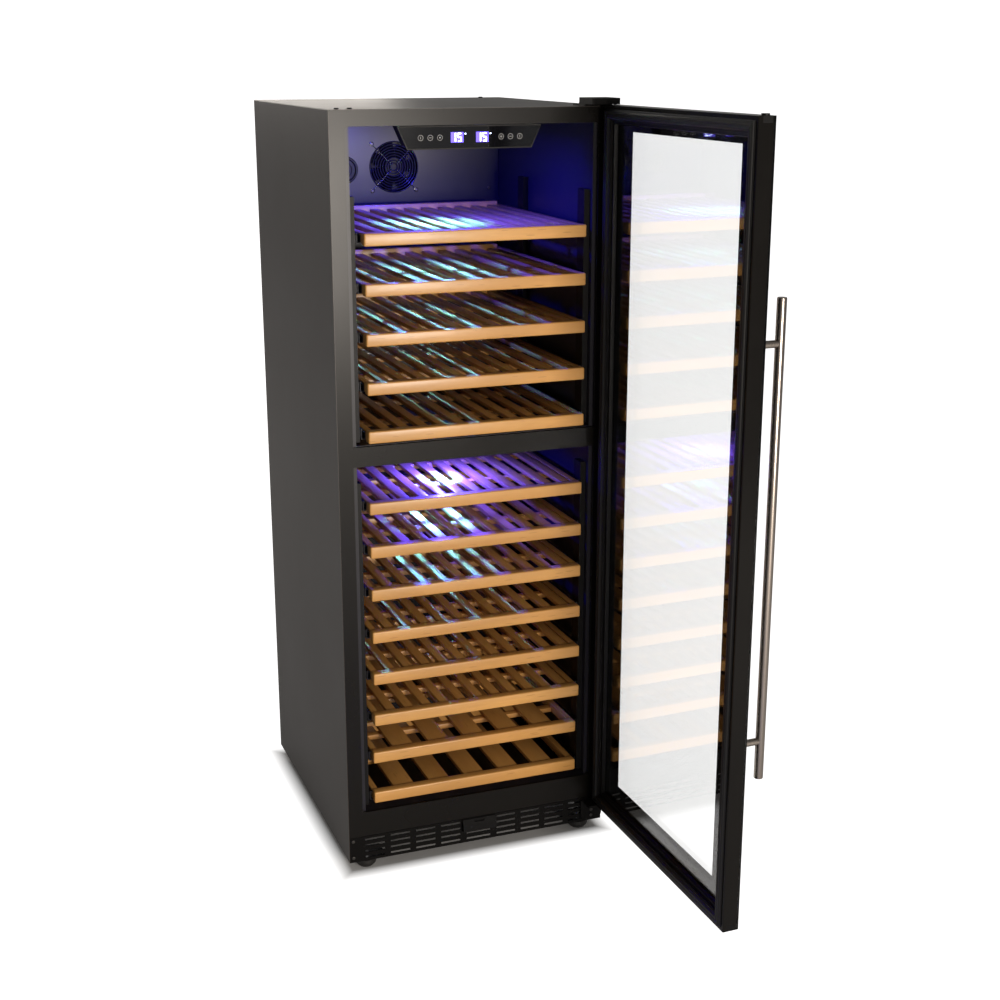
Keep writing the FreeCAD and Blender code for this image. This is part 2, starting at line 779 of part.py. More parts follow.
# ---------------------------------------------------------------- air ducts, fans and cooling
def duct_cover(name, low, high, fan):
    """Cover over one zone's evaporator, with the fan opening, the filter seat and return slots."""
    cover = body(name)
    edge = "cavity - 0.5"
    wall = ("duct_front - duct_sheet", "duct_front")
    pad(cover, "XZ_Plane", wall, lambda s: rectangle(s, (minus(edge), edge), (low, high)))
    for side in both_sides(f"{edge} - duct_sheet", edge):
        pad(cover, "XZ_Plane", ("duct_front", "cavity_back - 0.5"),
            lambda s: rectangle(s, side, (low, high)))
    half_pitch = "fan_screw_pitch / 2"

    def holes(sketch):
        circle(sketch, "0", fan, "fan_bore")
        circle(sketch, minus("filter_offset"), f"{fan} - 4", "filter_radius - 5")
        for x in (half_pitch, minus(half_pitch)):
            for z in (f"{fan} + {half_pitch}", f"{fan} - {half_pitch}"):
                circle(sketch, x, z, "screw_radius + screw_play")
        for x in ("cavity - 24", minus("cavity - 24")):
            for z in (f"{low} + 30", f"{fan} - 53"):
                circle(sketch, x, z, "screw_radius + screw_play")

    through = ("duct_front - duct_sheet - 1", "duct_front + 1")
    pocket(cover, "XZ_Plane", through, holes)

    def vents(sketch):
        for column in range(5):
            left = f"0 - 180 + {column} * 75"
            rectangle(sketch, (left, f"{left} + 60"), (f"{low} + 60", f"{low} + 64"))

    slot = pocket(cover, "XZ_Plane", through, vents)
    row_of(cover, slot, "Z_Axis", "10", 4)
    node(name, cover)


FAN_SPOTS = {
    "upper": ("0", "duct_front", "upper_fan"),
    "lower": ("0", "duct_front", "lower_fan"),
    "condenser": ("0 - 150", "back - 100", "base + 90"),
}


def fan_frames():
    """Three square fan housings with a motor seat on three struts."""
    frames = []
    half_side = "fan_side / 2"
    half_pitch = "fan_screw_pitch / 2"
    for x, y, z in FAN_SPOTS.values():
        frame = body("fan_frame")
        pad(frame, "XZ_Plane", ("0", "fan_thick"),
            lambda s: rectangle(s, (minus(half_side), half_side), (minus(half_side), half_side)))

        def holes(sketch):
            circle(sketch, "0", "0", "fan_bore")
            for hole_x in (half_pitch, minus(half_pitch)):
                for hole_z in (half_pitch, minus(half_pitch)):
                    circle(sketch, hole_x, hole_z, "screw_radius + screw_play")

        pocket(frame, "XZ_Plane", ("0 - 1", "fan_thick + 1"), holes)
        motor = rod("hub_radius - 2", ("0", "fan_thick - 3", "0"), "3", "y")
        struts = [
            box(("0 - 3", "3"), ("fan_thick - 3", "fan_thick"), ("0", half_side)),
            box(("0", half_side), ("fan_thick - 3", "fan_thick"), ("0 - 3", "3")),
            box((minus(half_side), "0"), ("fan_thick - 3", "fan_thick"), ("0 - 3", "3")),
        ]
        whole = fuse([frame, motor] + struts, "fan_frame")
        place(whole, x, y, z)
        frames.append(whole)
    node("fan_frames", group(frames, "fan_frames"))


def fan_rotor(name, spot):
    """Hub with seven slanted blades, turning about Y."""
    rotor = body(name)
    span = ("1.5", "fan_thick - 4")
    pad(rotor, "XZ_Plane", span, lambda s: circle(s, "0", "0", "hub_radius"))
    blade = pad(rotor, "YZ_Plane", ("hub_radius - 2", "blade_reach"),
                lambda s: outline(s, [("3", "0 - 11"), ("5.2", "0 - 12.5"), ("fan_thick - 5", "11"),
                                      ("fan_thick - 7", "12.5")]))
    blades = rotor.newObject("PartDesign::PolarPattern", "Blades")
    blades.Originals = [blade]
    blades.Axis = (origin_feature(rotor, "Y_Axis"), [""])
    blades.Angle = 360
    blades.Occurrences = 7
    rotor.Tip = blades
    place(rotor, *spot)
    node(name, rotor)


def fan_guards():
    """Concentric rings on a diagonal cross, with a screw lug at each end, in front of each cabinet fan."""
    guards = []
    lug = "fan_screw_pitch / 2"
    for z in ("upper_fan", "lower_fan"):
        rings = []
        for ring in range(9):
            outer = f"fan_bore + 1 - {ring} * 6"
            whole = rod(outer, ("0", "0", "0"), "guard_thick - 1", "y")
            hole = rod(f"{outer} - 2.2", ("0", "0 - 1", "0"), "guard_thick + 1", "y")
            rings.append(cut(whole, [hole], "ring"))
        arms = []
        for turn in (45, 135):
            arm = box((f"0 - {lug} * 1.4142", f"{lug} * 1.4142"), ("1", "guard_thick"), ("0 - 1.5", "1.5"))
            arm_turned = group([arm], "arm")
            arm_turned.Placement.Rotation = FreeCAD.Rotation(Y_AXIS, turn)
            arms.append(arm_turned)
        lugs = []
        holes = []
        for x in (lug, minus(lug)):
            for lug_z in (lug, minus(lug)):
                lugs.append(rod("6", (x, "1", lug_z), "guard_thick - 1", "y"))
                holes.append(rod("screw_radius + screw_play", (x, "0", lug_z), "guard_thick + 1", "y"))
        centre = rod("5", ("0", "0", "0"), "guard_thick", "y")
        guard = cut(fuse(rings + arms + lugs + [centre]), holes, "guard")
        place(guard, "0", "guard_front", z)
        guards.append(guard)
    node("fan_guards", group(guards, "fan_guards"))


def carbon_filters():
    """Round ribbed filter caps beside each cabinet fan."""
    filters = []
    for z in ("upper_fan - 4", "lower_fan - 4"):
        cap = body("carbon_filter")
        points = [("0", "3"), ("9", "3"), ("9", "0"), ("12", "0"), ("12", "3"), ("16", "3"), ("16", "0"),
                  ("19", "0"), ("19", "3"), ("filter_radius - 7", "3"), ("filter_radius - 5", "0"),
                  ("filter_radius - 2", "0"), ("filter_radius", "3"), ("filter_radius", "6"),
                  ("filter_radius - 5.3", "6"), ("filter_radius - 5.3", "28"), ("0", "28")]
        turned(cap, lambda s: outline(s, points))
        cap.Placement.Rotation = TURNS["y"]
        place(cap, minus("filter_offset"), "duct_front - duct_sheet - 6", z)
        filters.append(cap)
    node("carbon_filters", group(filters, "carbon_filters"))


def evaporators():
    """A finned evaporator plate behind each duct cover."""
    plates = []
    for low, high in (("divider_high + 60", "upper_fan - 75"), ("step_top + 60", "lower_fan - 75")):
        core = ("duct_front + 14", "duct_front + 17")
        parts = [box(("0 - 190", "190"), core, (low, high))]
        for fin in range(20):
            x = f"0 - 190 + {fin} * 20"
            parts.append(box((x, f"{x} + 1"), ("duct_front + 6", "duct_front + 28"), (low, high)))
        plates.append(fuse(parts, "evaporator"))
    node("evaporators", group(plates, "evaporators"))


def control_housing():
    """Ceiling box of the touch panel, with a rim that holds the glass."""
    housing = body("control_housing")

    def trapezoid(grow, top):
        return lambda s: outline(s, [
            (minus(f"panel_bottom / 2 + {grow}"), f"panel_z - panel_height - ({grow})"),
            (f"panel_bottom / 2 + {grow}", f"panel_z - panel_height - ({grow})"),
            (f"panel_top / 2 + {grow}", top), (minus(f"panel_top / 2 + {grow}"), top)])

    rim = ("panel_y - 1", "panel_y + 5")
    pad(housing, "XZ_Plane", rim, trapezoid("panel_rim", "panel_z + panel_rim"))
    pad(housing, "XZ_Plane", ("panel_y + 5", "panel_y + 55"), trapezoid("0 - 3", "ceiling"))
    pocket(housing, "XZ_Plane", ("panel_y - 2", "panel_y + 3"), trapezoid("0.2", "panel_z + 0.2"))
    node("control_housing", housing)


def control_glass():
    glass = body("control_glass")
    low = "panel_z - panel_height"
    points = [(minus("panel_bottom / 2"), low), ("panel_bottom / 2", low),
              ("panel_top / 2", "panel_z"), (minus("panel_top / 2"), "panel_z")]
    pad(glass, "XZ_Plane", ("panel_y", "panel_y + 3"), lambda s: outline(s, points))
    node("control_glass", glass)


def led_lamps():
    """A lamp under each zone's ceiling."""
    lamps = []
    for roof in ("ceiling", "divider_low"):
        lamp = body("lamp")
        pad(lamp, "XY_Plane", (f"{roof} - 6", roof),
            lambda s: rectangle(s, ("0 - 55", "55"), ("front + 125", "front + 150")))
        limit = value(roof) - 5
        rim = level_edges(lamp, lambda p: p.z < limit)
        soften(lamp, "Chamfer", "2", rim)
        lamps.append(lamp)
    node("led_lamps", group(lamps, "led_lamps"))


def compressor():
    """Hermetic compressor on its plate and four rubber grommets."""
    pot = body("compressor_pot")
    points = [("0", "0"), ("50", "0"), ("58", "8"), ("58", "62"), ("61", "64"), ("61", "68"), ("58", "70"),
              ("57", "110"), ("46", "132"), ("24", "141"), ("0", "143")]
    turned(pot, lambda s: outline(s, points))
    place(pot, "120", "back - 105", "base + 16.5")
    plate = box(("30", "210"), ("back - 155", "back - 55"), ("base + 13.5", "base + 16.5"))
    grommets = []
    for x in ("42", "198"):
        for y in ("back - 145", "back - 65"):
            grommets.append(rod("9", (x, y, "base + 1.5"), "12"))
    node("compressor", group([fuse([pot, plate]), *grommets], "compressor"))


def condenser():
    """Finned tube block in front of the machine room's fan, and the pipe to the compressor."""
    low = "base + 20"
    fins = [box((f"0 - 230 + {fin} * 10", f"0 - 229 + {fin} * 10"), ("back - 150", "back - 106"),
                (low, f"{low} + 130")) for fin in range(17)]
    tubes = [rod("4", ("0 - 240", f"back - 128 + {12 * side}", f"{low} + {15 + 20 * row}"), "180", "x")
             for row in range(6) for side in (-1, 1)]
    block = fuse(fins + tubes)
    legs = [box((x, f"{x} + 2"), ("back - 150", "back - 106"), ("base + 1.5", f"{low} + 130"))
            for x in ("0 - 242", "0 - 60")]
    node("condenser", fuse([block, *legs], "condenser"))


def drain_tray():
    """Open tray that catches defrost water on the machine-room floor."""
    outer = box(("0 - 50", "20"), ("back - 200", "back - 40"), ("base + 1.5", "base + 36"))
    inner = box(("0 - 48", "18"), ("back - 198", "back - 42"), ("base + 3.5", "base + 37"))
    node("drain_tray", cut(outer, [inner], "drain_tray"))


def power_box():
    box_body = body("power_box")
    pad(box_body, "XY_Plane", ("base + 1.5", "base + 130"),
        lambda s: rectangle(s, ("half - 70", "half - 10"), ("back - 210", "back - 60")))
    limit = value("base") + 120
    rim = level_edges(box_body, lambda p: p.z > limit)
    soften(box_body, "Chamfer", "3", rim)
    node("power_box", box_body)


def mains_inlet():
    """Three-pin inlet socket behind the cut-out of the back panel."""
    inlet = body("mains_inlet")
    middle_x = "half - 60"
    middle_z = "base + 68"

    def block(grow_x, grow_z):
        return lambda s: rectangle(s, (f"{middle_x} - {grow_x}", f"{middle_x} + {grow_x}"),
                                   (f"{middle_z} - {grow_z}", f"{middle_z} + {grow_z}"))

    pad(inlet, "XZ_Plane", ("back - steel_sheet - 26", "back - steel_sheet - 2"), block("14", "11"))
    pad(inlet, "XZ_Plane", ("back - steel_sheet - 2", "back - steel_sheet"), block("20", "15"))
    pad(inlet, "XZ_Plane", ("back - steel_sheet", "back + 1.5"), block("15", "12"))
    pocket(inlet, "XZ_Plane", ("back - 16", "back + 2"), block("12", "8.2"))

    def pins(sketch):
        for x, z in (("0 - 7", "0 - 2"), ("7", "0 - 2"), ("0", "2.5")):
            rectangle(sketch, (f"{middle_x} + {x} - 1", f"{middle_x} + {x} + 1"),
                      (f"{middle_z} + {z} - 2", f"{middle_z} + {z} + 2"))

    pad(inlet, "XZ_Plane", ("back - 16.5", "back - 3"), pins)
    node("mains_inlet", inlet)


def screw(x, y, z, axis, sign, length, rise="2"):
    """Pan-head screw: the head stands on the face at (x, y, z), towards -axis for sign 1."""
    start = {"x": x, "y": y, "z": z}
    shank_start = dict(start)
    head_start = dict(start)
    if sign > 0:
        head_start[axis] = f"{start[axis]} - {rise}"
    else:
        shank_start[axis] = f"{start[axis]} - {length}"
    shank = rod("screw_radius", shank_start.values(), length, axis)
    cap = rod("3.8", head_start.values(), rise, axis)
    return fuse([shank, cap], "screw")


def cabinet_screws():
    """Visible fasteners of the plinth, duct covers, fan guards, hinge brackets and cabinet top."""
    screws = []
    for x, z in KICK_SCREWS:
        screws.append(screw(x, "front", z, "y", 1, "kick_sheet + 6", rise="1.4"))
    half_pitch = "fan_screw_pitch / 2"
    for fan, low in (("upper_fan", "divider_high + 0.5"), ("lower_fan", "step_top + 0.5")):
        for x in (half_pitch, minus(half_pitch)):
            for z in (f"{fan} + {half_pitch}", f"{fan} - {half_pitch}"):
                screws.append(screw(x, "guard_front + 1", z, "y", 1, "guard_thick + fan_thick - 1"))
        for x in ("cavity - 24", minus("cavity - 24")):
            for z in (f"{low} + 30", f"{fan} - 53"):
                screws.append(screw(x, "duct_front - duct_sheet", z, "y", 1, "10"))
    for x in BRACKET_SCREWS:
        screws.append(screw(x, "front + 50", "top + bracket_thick", "z", -1, "bracket_thick"))
    for z in ("base + 14", "base + 28"):
        screws.append(screw("half - 26", "front - bracket_thick", z, "y", 1, "bracket_thick"))
    plugs = [
        (minus("half - 22"), "front + 20"),
        (minus("half - 48"), "front + 20"),
        ("half - 60", "back - 30"),
    ]
    for x, y in plugs:
        screws.append(rod("5", (x, y, "top"), "2.5"))
    node("cabinet_screws", group(screws, "cabinet_screws"))


def feet():
    """Levelling feet whose studs turn in the base bosses."""
    spots = {
        "front_left": (minus("foot_x"), "foot_near"), "front_right": ("foot_x", "foot_near"),
        "rear_left": (minus("foot_x"), "foot_far"), "rear_right": ("foot_x", "foot_far"),
    }
    for name, (x, y) in spots.items():
        foot = body(f"foot_{name}")
        points = [("0", "0"), ("foot_radius - 7", "0"), ("foot_radius - 1", "7"), ("foot_radius", "11"),
                  ("foot_radius", "foot_clearance - 6"), ("9", "foot_clearance - 4"),
                  ("9", "foot_clearance - 1"), ("stud_radius", "foot_clearance - 1"),
                  ("stud_radius", "foot_clearance + 15"), ("0", "foot_clearance + 15")]
        turned(foot, lambda s: outline(s, points))
        place(foot, x, y, "0")
        node(f"foot_{name}", foot)


# ---------------------------------------------------------------- door, drawn closed about its hinge axis
def hang(obj):
    """Hangs a door piece on the hinge axis, turned to the rest angle."""
    place(obj, "door_x", "door_y", "0")
    obj.setExpression("Placement.Rotation.Angle", formula("door_angle"))
    return obj


def inset(amount):
    """The door's rectangle, drawn in by an amount."""
    return ((f"door_free + {amount}", f"door_edge - ({amount})"),
            (f"door_low + {amount}", f"door_high - ({amount})"))


def border_strips(span, outer, inner):
    """Two stiles and two rails round the door between two insets."""
    (x_low, x_high), (z_low, z_high) = inset(outer)
    (x_first, x_last), (z_first, z_last) = inset(inner)
    return [
        box((x_low, x_first), span, (z_low, z_high), "stile"),
        box((x_last, x_high), span, (z_low, z_high), "stile"),
        box((x_first, x_last), span, (z_low, z_first), "rail"),
        box((x_first, x_last), span, (z_last, z_high), "rail"),
    ]


BUSH_X = [(minus("hinge_inset"), "door_edge"), ("door_free", "door_free + 2 * hinge_inset")]
BUSH_Y = (minus("hinge_inset"), "hinge_inset")
BUSH_Z = [("door_low", "door_low + rim_width"), ("door_high - rim_width", "door_high")]


def door_frame():
    """Rim of four metal profiles, notched at the corners for the hinge inserts."""
    profiles = []
    for profile in border_strips(("pane_back", "door_in"), "0", "rim_width"):
        notches = [box(x, BUSH_Y, z) for x in BUSH_X for z in BUSH_Z]
        profiles.append(cut(profile, notches, "profile"))
    node("door_frame", hang(group(profiles, "door_frame")))


def hinge_bushes():
    """Plastic inserts at the door's corners: bored on the hinge side, plugged on the free side."""
    inserts = []
    for x, bored in zip(BUSH_X, (True, False)):
        for z, at_top in zip(BUSH_Z, (False, True)):
            low, high = z
            insert = body("insert")
            pad(insert, "XY_Plane", (low, high), lambda s: rectangle(s, x, BUSH_Y))
            if at_top and not bored:
                pad(insert, "XY_Plane", (high, f"{high} + 3.5"),
                    lambda s: circle(s, "door_free + hinge_inset", "0", "hinge_inset - 2"))
            if bored:
                pocket(insert, "XY_Plane", (f"{low} - 1", f"{high} + 1"),
                       lambda s: circle(s, "0", "0", "pin_radius + pin_play"))
            inserts.append(insert)
    node("hinge_bushes", hang(group(inserts, "hinge_bushes")))


def door_panes():
    outer = body("outer_glass")
    pad(outer, "XZ_Plane", ("door_out", "pane_back"), lambda s: rectangle(s, *inset("0")))
    node("outer_glass", hang(outer))
    inner = body("inner_glass")
    depth = ("door_in - pane_recess - pane_thick", "door_in - pane_recess")
    pad(inner, "XZ_Plane", depth, lambda s: rectangle(s, *inset("rim_width + 2")))
    node("inner_glass", hang(inner))
    spacer = border_strips(("pane_back", depth[0]), "rim_width + 4", "rim_width + 4 + spacer_width")
    node("glass_spacer", hang(fuse(spacer, "glass_spacer")))


def inner_frame():
    """Four plastic strips that hold the gasket and cover the pane's edge."""
    strips = border_strips(("door_in - pane_recess", "door_in"), "rim_width", "inner_frame_width")
    node("inner_frame", hang(group(strips, "inner_frame")))


def door_gasket():
    """Magnetic gasket, welded from four strips: a base and a narrower bellows that meets the jamb."""
    base_top = "door_in + 2.5"
    base = border_strips(("door_in", base_top), "gasket_inset", "gasket_inset + gasket_width")
    bellows = border_strips((base_top, "door_in + door_gap - gasket_play"), "gasket_inset + 2",
                            "gasket_inset + gasket_width - 2")
    strips = [fuse(pair, "strip") for pair in zip(base, bellows)]
    node("door_gasket", hang(group(strips, "door_gasket")))


def handle():
    bar = body("bar")
    points = [("0", "bar_base"), ("bar_radius - 1", "bar_base"), ("bar_radius", "bar_base + 1"),
              ("bar_radius", "bar_base + bar_length - 1"), ("bar_radius - 1", "bar_base + bar_length"),
              ("0", "bar_base + bar_length")]
    turned(bar, lambda s: outline(s, points))
    placed = group([bar], "handle_bar")
    place(bar, "bar_x", "bar_y", "base")
    node("handle_bar", hang(placed))
    posts = []
    for level in ("post_base", "post_base + post_pitch"):
        z = f"base + {level}"
        stem = rod("post_radius", ("bar_x", "bar_y", z), "bar_reach", "y")
        foot = rod("post_radius + 2", ("bar_x", "door_out - 3", z), "3", "y")
        hollow = rod("bar_radius", ("bar_x", "bar_y", f"{z} - 20"), "40")
        posts.append(cut(fuse([stem, foot]), [hollow], "post"))
    node("handle_posts", hang(group(posts, "handle_posts")))


# ---------------------------------------------------------------- build and export
def build():
    outer_shell()
    back_panel()
    base_frame()
    bottom_panel()
    front_frame()
    insulation_foam()
    upper_liner()
    lower_liner()
    zone_divider()
    kick_grille()
    lock_keeper()
    top_hinge_bracket()
    bottom_hinge_bracket()
    hinge_pins()
    upright_strips()
    slide_channels()
    shelves()
    duct_cover("upper_duct_cover", "divider_high + 0.5", "ceiling - 0.5", "upper_fan")
    duct_cover("lower_duct_cover", "step_top + 0.5", "divider_low - 0.5", "lower_fan")
    fan_frames()
    for name, spot in FAN_SPOTS.items():
        fan_rotor(f"{name}_fan_rotor", spot)
    fan_guards()
    carbon_filters()
    evaporators()
    control_housing()
    control_glass()
    led_lamps()
    compressor()
    condenser()
    drain_tray()
    power_box()
    mains_inlet()
    cabinet_screws()
    feet()
    door_frame()
    hinge_bushes()
    door_panes()
    inner_frame()
    door_gasket()
    handle()
    doc.recompute()


def check():
    for obj in doc.Objects:
        if "Invalid" in obj.State or "Error" in obj.State:
            raise RuntimeError(f"{obj.Label} is {obj.State}")
    for obj in NODES:
        if obj.Shape.isNull() or not obj.Shape.isValid() or not obj.Shape.Solids:
            raise RuntimeError(f"{obj.Label} has no valid solid")


def export():
    os.makedirs("parts", exist_ok=True)
    for obj in NODES:
        obj.Shape.exportStep(f"parts/{obj.Label}.step")
        print(f"{obj.Label}: {len(obj.Shape.Solids)} solids, {obj.Shape.Volume / 1000:.1f} cm3")


build()
check()
export()
print(len(NODES), "nodes")
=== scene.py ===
"""Looks of a tall dual-zone wine cooler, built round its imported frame. Metres, +Z up, front towards -Y."""

import json
import math

import bmesh
import bpy
from bpy.props import FloatProperty, FloatVectorProperty, IntProperty, PointerProperty, StringProperty
from mathutils import Matrix, Vector


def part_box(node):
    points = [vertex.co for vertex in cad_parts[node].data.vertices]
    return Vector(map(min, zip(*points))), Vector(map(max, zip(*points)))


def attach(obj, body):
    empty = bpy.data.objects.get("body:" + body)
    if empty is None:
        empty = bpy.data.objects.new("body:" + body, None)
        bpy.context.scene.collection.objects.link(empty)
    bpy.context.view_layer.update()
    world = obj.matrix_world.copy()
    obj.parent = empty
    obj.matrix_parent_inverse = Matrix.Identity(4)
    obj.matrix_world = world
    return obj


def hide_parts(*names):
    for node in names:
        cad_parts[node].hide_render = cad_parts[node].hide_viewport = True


bl_info = {
    "name": "Wine cooler",
    "version": (1, 0, 0),
    "blender": (4, 5, 0),
    "location": "View3D > Sidebar > Wine cooler",
    "description": "Models the shelves, door, panel and finishes of a wine cooler",
    "category": "Add Mesh",
}

MM = 0.001
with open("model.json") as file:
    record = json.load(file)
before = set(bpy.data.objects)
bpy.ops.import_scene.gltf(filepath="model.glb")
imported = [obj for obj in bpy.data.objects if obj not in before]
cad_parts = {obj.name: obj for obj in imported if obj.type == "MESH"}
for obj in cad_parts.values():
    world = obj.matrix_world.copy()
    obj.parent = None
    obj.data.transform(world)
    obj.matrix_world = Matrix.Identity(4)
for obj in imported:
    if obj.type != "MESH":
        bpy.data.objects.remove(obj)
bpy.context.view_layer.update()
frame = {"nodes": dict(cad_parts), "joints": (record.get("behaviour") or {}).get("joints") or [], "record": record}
NODES = frame["nodes"]


# ---------------------------------------------------------------- settings
class CabinetSettings(bpy.types.PropertyGroup):
    """Finishes of the cabinet."""

    paint: FloatVectorProperty(name="Paint", description="Colour of the outer sheets", subtype="COLOR",
                               size=3, min=0, max=1, default=(0.024, 0.0165, 0.012))
    edge: FloatProperty(name="Sheet edge", description="Radius of the bent sheet's edges", unit="LENGTH",
                        default=2.2 * MM)
    liner: FloatVectorProperty(name="Liner", description="Colour of the inner walls", subtype="COLOR",
                               size=3, min=0, max=1, default=(0.014, 0.013, 0.018))


class ShelfSettings(bpy.types.PropertyGroup):
    """Layout and wood of the shelves."""

    trim_depth: FloatProperty(name="Trim depth", description="Front to back size of the front bar",
                              unit="LENGTH", default=22 * MM)
    trim_height: FloatProperty(name="Trim height", description="Height of the front bar", unit="LENGTH",
                               default=25.4 * MM)
    slat: FloatProperty(name="Slat width", description="Width of a narrow slat", unit="LENGTH",
                        default=20 * MM)
    slat_pitch: FloatProperty(name="Slat pitch", description="From one narrow slat to the next",
                              unit="LENGTH", default=40 * MM)
    wide_slat: FloatProperty(name="Wide slat", description="Width of a slat on the two lowest shelves",
                             unit="LENGTH", default=46 * MM)
    thickness: FloatProperty(name="Slat thickness", description="Thickness of the slats", unit="LENGTH",
                             default=9 * MM)
    rail: FloatProperty(name="Side rail", description="Width of the side rails", unit="LENGTH",
                        default=13.5 * MM)
    batten: FloatProperty(name="Batten", description="Width of the cross battens", unit="LENGTH",
                          default=20 * MM)
    soft_edge: FloatProperty(name="Soft edge", description="Rounding of sawn edges", unit="LENGTH",
                             default=1.1 * MM)
    wood: FloatVectorProperty(name="Wood", description="Colour of the light grain", subtype="COLOR",
                              size=3, min=0, max=1, default=(0.80, 0.43, 0.125))


class DoorSettings(bpy.types.PropertyGroup):
    """Borders and trims of the door."""

    border_hinge: FloatProperty(name="Border, hinge side", description="Black border of the panes",
                                unit="LENGTH", default=75 * MM)
    border_free: FloatProperty(name="Border, handle side", description="Black border of the panes",
                               unit="LENGTH", default=75 * MM)
    border_top: FloatProperty(name="Border, top", description="Black border of the panes",
                              unit="LENGTH", default=49.5 * MM)
    border_bottom: FloatProperty(name="Border, bottom", description="Black border of the panes",
                                 unit="LENGTH", default=66.5 * MM)
    print_thickness: FloatProperty(name="Print thickness", description="Thickness of the baked border",
                                   unit="LENGTH", default=0.3 * MM)


class PanelSettings(bpy.types.PropertyGroup):
    """The touch panel's display."""

    upper_reading: StringProperty(name="Upper reading", description="Number shown for the upper zone",
                                  default="15")
    lower_reading: StringProperty(name="Lower reading", description="Number shown for the lower zone",
                                  default="15")
    digit_height: FloatProperty(name="Digit height", description="Height of a digit", unit="LENGTH",
                                default=17 * MM)
    glow: FloatVectorProperty(name="Glow", description="Colour of the lit digits", subtype="COLOR",
                              size=3, min=0, max=1, default=(0.62, 0.72, 1.0))


class StageSettings(bpy.types.PropertyGroup):
    """Floor, lights and camera."""

    lamp: FloatVectorProperty(name="Lamp", description="Colour of the lamps inside", subtype="COLOR",
                              size=3, min=0, max=1, default=(0.026, 0.022, 1.0))
    lamp_power: FloatProperty(name="Lamp power", description="Power of each lamp inside, in watts",
                              default=11.0)
    beam: FloatVectorProperty(name="Beam", description="Colour of the narrow beam under each lamp",
                              subtype="COLOR", size=3, min=0, max=1, default=(0.075, 0.5, 1.0))
    beam_power: FloatProperty(name="Beam power", description="Power of each narrow beam, in watts",
                              default=3.2)
    floor_glow: FloatProperty(name="Floor glow",
                              description="How much brighter the backdrop looks than its light", default=1.02)
    lens: FloatProperty(name="Lens", description="Focal length of the camera in millimetres",
                        default=56.34)
    segments: IntProperty(name="Sweep segments", description="Smoothness of the backdrop's bend",
                          default=24)


SETTINGS = {
    "cooler_cabinet": CabinetSettings,
    "cooler_shelves": ShelfSettings,
    "cooler_door": DoorSettings,
    "cooler_panel": PanelSettings,
    "cooler_stage": StageSettings,
}


# ---------------------------------------------------------------- modelling helpers
def clear_selection():
    if bpy.context.object and bpy.context.object.mode != "OBJECT":
        bpy.ops.object.mode_set(mode="OBJECT")
    bpy.ops.object.select_all(action="DESELECT")


def only(piece):
    clear_selection()
    piece.select_set(True)
    bpy.context.view_layer.objects.active = piece


def freeze(piece):
    only(piece)
    bpy.ops.object.transform_apply(location=True, rotation=True, scale=True)


def slab(name, low, high, rounding=0.0, segments=2):
    """A block between two corners, all its edges rounded."""
    clear_selection()
    low = Vector(low)
    high = Vector(high)
    bpy.ops.mesh.primitive_cube_add(size=1, location=(low + high) / 2)
    piece = bpy.context.object
    piece.name = name
    piece.scale = high - low
    freeze(piece)
    if rounding:
        bpy.ops.object.mode_set(mode="EDIT")
        bpy.ops.mesh.select_all(action="SELECT")
        bpy.ops.mesh.bevel(offset=rounding, segments=segments, affect="EDGES", profile=0.5)
        bpy.ops.object.mode_set(mode="OBJECT")
    return piece


def select_faces(piece, test):
    """Enters edit mode with only the faces whose centre and normal pass the test."""
    only(piece)
    bpy.ops.object.mode_set(mode="EDIT")
    bpy.ops.mesh.select_mode(type="FACE")
    bpy.ops.mesh.select_all(action="DESELECT")
    mesh = bmesh.from_edit_mesh(piece.data)
    for face in mesh.faces:
        face.select_set(test(face.calc_center_median(), face.normal))
    bmesh.update_edit_mesh(piece.data)


def select_edges(piece, test):
    """Enters edit mode with only the edges whose two ends pass the test."""
    only(piece)
    bpy.ops.object.mode_set(mode="EDIT")
    bpy.ops.mesh.select_mode(type="EDGE")
    bpy.ops.mesh.select_all(action="DESELECT")
    mesh = bmesh.from_edit_mesh(piece.data)
    for edge in mesh.edges:
        edge.select_set(test(edge.verts[0].co, edge.verts[1].co))
    bmesh.update_edit_mesh(piece.data)


def join(name, pieces):
    clear_selection()
    for piece in pieces:
        piece.select_set(True)
    bpy.context.view_layer.objects.active = pieces[0]
    if len(pieces) > 1:
        bpy.ops.object.join()
    pieces[0].name = name
    pieces[0].data.name = name
    return pieces[0]


def copy(piece, name, offset):
    twin = piece.copy()
    twin.data = piece.data.copy()
    twin.name = name
    twin.data.name = name
    bpy.context.scene.collection.objects.link(twin)
    twin.data.transform(Matrix.Translation(Vector(offset)))
    return twin


def smooth(piece, degrees=35):
    only(piece)
    bpy.ops.object.shade_smooth_by_angle(angle=math.radians(degrees))


def paint(piece, *finishes):
    piece.data.materials.clear()
    for finish in finishes:
        piece.data.materials.append(finish)


def fit(piece, body, finish=None, replaces=()):
    """Freezes a finished piece, gives it its finish and fixes it to its body."""
    freeze(piece)
    if finish:
        paint(piece, finish)
    smooth(piece)
    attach(piece, body)
    if replaces:
        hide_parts(*replaces)
    clear_selection()
    return piece


